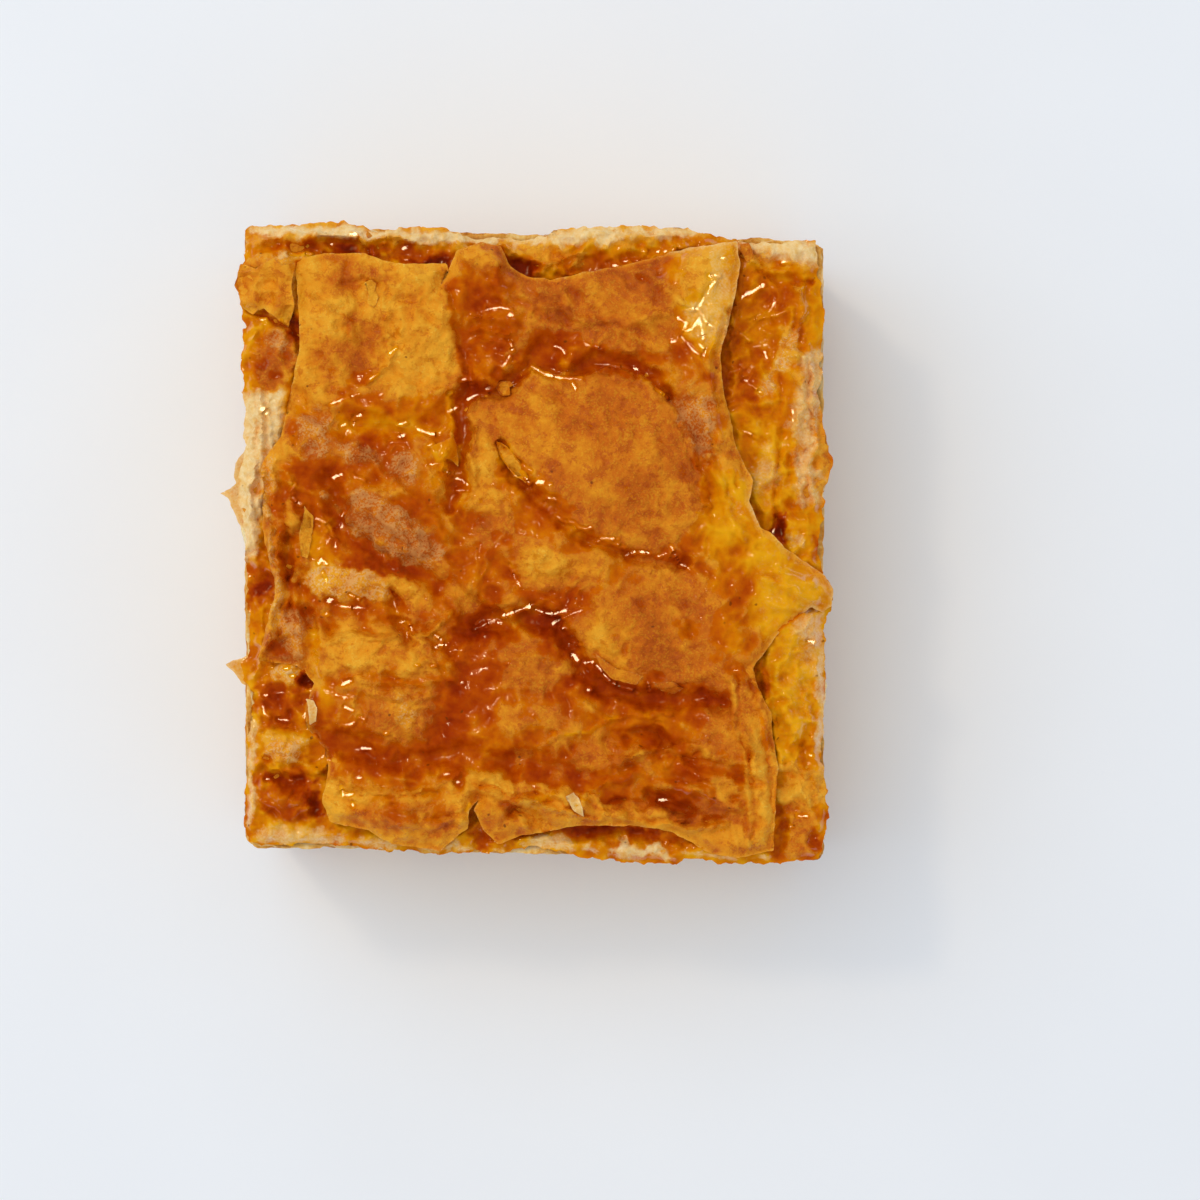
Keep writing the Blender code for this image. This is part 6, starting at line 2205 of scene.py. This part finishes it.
@dataclass
class Studio:
    """A pale floor, a broad soft light from the upper left with a small bright core, and an even surround."""

    floor_half: float = 2.5
    soft_turn: float = math.radians(147.0)
    soft_rise: float = math.radians(61.0)
    soft_away: float = 1.5
    soft_wide: float = 1.5
    soft_power: float = 9.0
    core_wide: float = 0.16
    core_power: float = 1.9
    halo_wide: float = 0.7
    halo_power: float = 1.3
    surround: float = 0.64
    mirrored: float = 0.05
    lens: float = 135.0
    sensor: float = 36.0

    def floor(self) -> None:
        """Lays the floor."""
        half = self.floor_half / MM
        points = np.array([(-half, -half, 0.0), (half, -half, 0.0), (half, half, 0.0), (-half, half, 0.0)])
        mesh = make_mesh("floor", points, [np.array([[0, 1, 2, 3]])])
        mesh.materials.append(PaleBoard().make())
        add_object("floor", mesh)

    def light(
        self, name: str, way: Vector, away: float, wide: float, power: float, tint: str = "E8F4FF"
    ) -> bpy.types.Object:
        """Hangs one round lamp that faces the slice.

        Args:
            name: the lamp's name.
            way: the way to it.
            away: its distance in metres.
            wide: its width in metres.
            power: its power in watts.
            tint: its colour.

        Returns:
            The lamp.
        """
        lamp = bpy.data.lights.new(name, "AREA")
        lamp.shape = "DISK"
        lamp.size = wide
        lamp.energy = power
        lamp.color = linear(tint)[:3]
        stand = add_object(name, lamp)
        stand.location = way * away
        stand.rotation_euler = way.to_track_quat("Z", "Y").to_euler()
        return stand

    def world(self) -> None:
        """Sets the surround. It stands behind polarising sheet, so glossy surfaces mirror only part of it."""
        world = bpy.data.worlds.new("studio_surround")
        bpy.context.scene.world = world
        world.use_nodes = True
        tree = world.node_tree
        mirrored = add_node(tree, "ShaderNodeLightPath").outputs["Is Glossy Ray"]
        links = {0: mirrored, 1: self.surround * (self.mirrored - 1.0), 2: self.surround}
        strength = add_node(tree, "ShaderNodeMath", links, operation="MULTIPLY_ADD").outputs[0]
        sky = tree.nodes["Background"]
        sky.inputs["Color"].default_value = (0.95, 1.00, 1.07, 1.0)
        tree.links.new(strength, sky.inputs["Strength"])

    def camera(self) -> None:
        """Sets the camera straight overhead."""
        lens = bpy.data.cameras.new("camera")
        lens.lens = self.lens
        lens.sensor_width = self.sensor
        lens.clip_start = 0.01
        camera = add_object("camera", lens)
        camera.location = Vector(CAMERA_PLACE) * MM
        bpy.context.scene.camera = camera

    def build(self) -> None:
        """Sets up everything round the slice."""
        self.floor()
        soft_way, core_way = way_to(self.soft_turn, self.soft_rise), way_to(KEY_TURN, KEY_RISE)
        soft = self.light("soft_key", soft_way, self.soft_away, self.soft_wide, self.soft_power)
        soft.visible_glossy = False
        self.light("bright_core", core_way, CORE_AWAY * MM, self.core_wide, self.core_power, "FFE6BC")
        halo = self.light("sheen", core_way, CORE_AWAY * MM, self.halo_wide, self.halo_power, "FFD296")
        halo.visible_diffuse = False
        self.world()
        self.camera()
        bpy.context.scene.view_settings.view_transform = "Standard"


def way_to(turn: float, rise: float) -> Vector:
    """The way to a light that is turned from +X, and risen over the horizon, by these radians."""
    flat = math.cos(rise)
    return Vector((flat * math.cos(turn), flat * math.sin(turn), math.sin(rise)))


def main() -> None:
    """Builds the slice and its studio, in order."""
    logging.basicConfig(level=logging.INFO, format="%(message)s")
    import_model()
    Studio().build()
    phyllo = BakedPhyllo().make()
    crisp = LeafEdges("crisp_leaf_edges").make()
    soaked = LeafEdges("soaked_leaf_edges", soak=0.8, painted_gap_shade="8E4C12", shades=SOAKED_SHADES).make()

    sheet, bed = CrustSheet(), CrustBed()
    leaves = {"crust_sheet": sheet, "crust_bed": bed, **loose_leaves(sheet, bed)}
    crust = [leaf.piece(name, phyllo) for name, leaf in leaves.items()]
    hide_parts("top_pastry")

    LeafStack(
        "top_leaves", "top_pastry", STACK_LOW, STACK_HIGH, count=14, thick=0.30, half_x=38.7, half_y=41.5,
        wave=1.15, ragged=1.0, uneven=1.0, seed=11,
    ).build(crisp)  # fmt: skip
    EdgeShards().build(crisp)
    custard = CustardSlab().build(SetCustard().make())
    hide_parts("custard")
    base = LeafStack(
        "base_leaves", "bottom_pastry", BASE_LOW, BASE_HIGH, count=8, thick=0.78, half_x=38.5, half_y=41.4,
        wave=0.50, ragged=0.80, uneven=0.5, seed=23, corners=480,
    ).build(soaked)  # fmt: skip
    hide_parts("bottom_pastry")


def loose_leaf(
    ground: ThinSheet, look: Look, rest: float, lift: float, towards: Point2, points: Route, **sizes: float
) -> Flap:
    """A small leaf made as a Flap says, from a plain outline that is made slightly ragged here."""
    outline = resample(points, 0.28, 0.13, 1.1, points[0][0])
    return Flap(outline=outline, look=look, ground=ground, rest=rest, lift=lift, towards=towards, **sizes)


def loose_leaves(sheet: CrustSheet, bed: CrustBed) -> dict[str, Flap]:
    """The small loose leaves.

    Args:
        sheet: the torn uppermost leaf.
        bed: the leaf under it.

    Returns:
        The leaves by name.
    """
    side = Level(height=32.5)
    return {
        "leaf_flap": loose_leaf(
            sheet, Look.TAN_DRY, 0.25, 0.5, (-0.6, -0.8),
            path(8.2, -14.6, 9.6, -15.7, 11.1, -16.6, 12.8, -17, 14.4, -17.6, 13.6, -18.8, 12, -18.5, 10.4, -18,
                 9.3, -17, 8.6, -15.8)),
        "left_slip": loose_leaf(
            sheet, Look.YELLOW_DRY, 0.35, 0.9, (-1.0, 0.2),
            path(-30.4, 5, -29.3, 3.5, -29.5, 0.8, -30, -1.9, -30.8, -1.7, -31.1, 1)),
        "corner_flap": loose_leaf(
            bed, Look.GOLD_DRY, 0.5, 0.7, (0.3, -1.0),
            path(-39.9, 34.5, -39.2, 37.4, -37, 36.6, -34.6, 38, -33.4, 36.9, -31.7, 37.4, -32.3, 34.4, -31.8, 32,
                 -32.8, 28.8, -34.2, 29.9, -36, 31.4, -37.6, 30.6, -38.8, 31.4), crumple=0.8),
        "upper_chip": loose_leaf(
            sheet, Look.YELLOW_DRY, 0.2, 0.5, (-1.0, 0.2),
            path(-22.5, 34.6, -21.6, 35.1, -20.9, 34.6, -21.1, 33.6, -20.6, 32.8, -21.2, 31.4, -22, 31.9, -21.8, 33)),
        "middle_chip": loose_leaf(
            sheet, Look.TAN_DRY, 0.25, 0.3, (1.0, 0.3),
            path(-5, 20.6, -4.6, 21.5, -3.2, 21.7, -2.6, 21, -3.3, 20.9, -3.2, 19.8, -4.2, 19.6)),
        "lower_chip": loose_leaf(
            sheet, Look.CREAM_WET, 0.25, 0.4, (0.3, 1.0),
            path(4.3, -33.6, 5.2, -33, 6, -33.8, 6.8, -36.4, 5.6, -35.7, 5, -35)),
        "gold_flap": loose_leaf(
            sheet, Look.GOLD_WET, 0.2, 0.7, (0.7, 0.7),
            path(-13.9, 13, -12.4, 13.4, -10.6, 14.2, -10.2, 12.6, -10, 10.2, -11.2, 11.2, -12.4, 11.4)),
        "dome_slip": loose_leaf(
            sheet, Look.GOLD_WET, 0.2, 0.5, (-0.8, -0.5),
            path(-5, 13.6, -3.5, 12.9, -1.9, 10.9, -0.7, 8.9, -0.9, 8.1, -2.2, 8.7, -3.4, 10, -4.4, 11.6)),
        "edge_sliver": loose_leaf(
            sheet, Look.CREAM_WET, 0.3, 0.6, (-1.0, 0.0),
            path(-30.1, -20.6, -29.2, -20.9, -28.8, -22.2, -28.9, -23.6, -29.7, -24.2, -29.9, -22.6)),
        "top_tuck": loose_leaf(
            bed, Look.TAN_DRY, 0.4, 0.5, (0.0, 1.0),
            path(27.2, 39.9, 28.6, 40.1, 29.2, 38.9, 29.6, 37.5, 28.4, 37.6, 27.8, 38.4)),
        "crease_chip": loose_leaf(
            sheet, Look.TAN_DRY, 0.2, 0.3, (0.0, 1.0),
            path(16, -18.6, 18.2, -18.3, 20, -19.2, 18.6, -20, 16.9, -19.6)),
        "left_drip": loose_leaf(
            side, Look.CREAM_WET, 1.6, -1.6, (-1.0, 0.0),
            path(-37, -2.5, -38.9, 1.9, -39.8, 2.8, -41.2, 6.1, -42.3, 6.9, -41, 7.5, -40.1, 8.3, -40.5, 9.2,
                 -40.3, 10.8, -38.7, 13, -36.5, 13),
            thick=1.2, edge_thick=0.5),
        "left_spike": loose_leaf(
            side, Look.YELLOW_WET, 3.6, -0.6, (-1.0, 0.0),
            path(-37, -20, -39.2, -18.5, -40.5, -17, -41.3, -16.1, -40.1, -15.5, -38.2, -14.9, -36.8, -14.6),
            thick=0.6, edge_thick=0.3),
        "right_shelf": loose_leaf(
            side, Look.GOLD_DRY, 2.4, -0.7, (1.0, 0.0),
            path(36.8, 18, 38.3, 17, 39.1, 14.8, 39.8, 11, 39.1, 7.9, 38.5, 6.2, 36.8, 5.6),
            thick=0.8, edge_thick=0.4),
    }  # fmt: skip


if __name__ == "__main__":
    main()
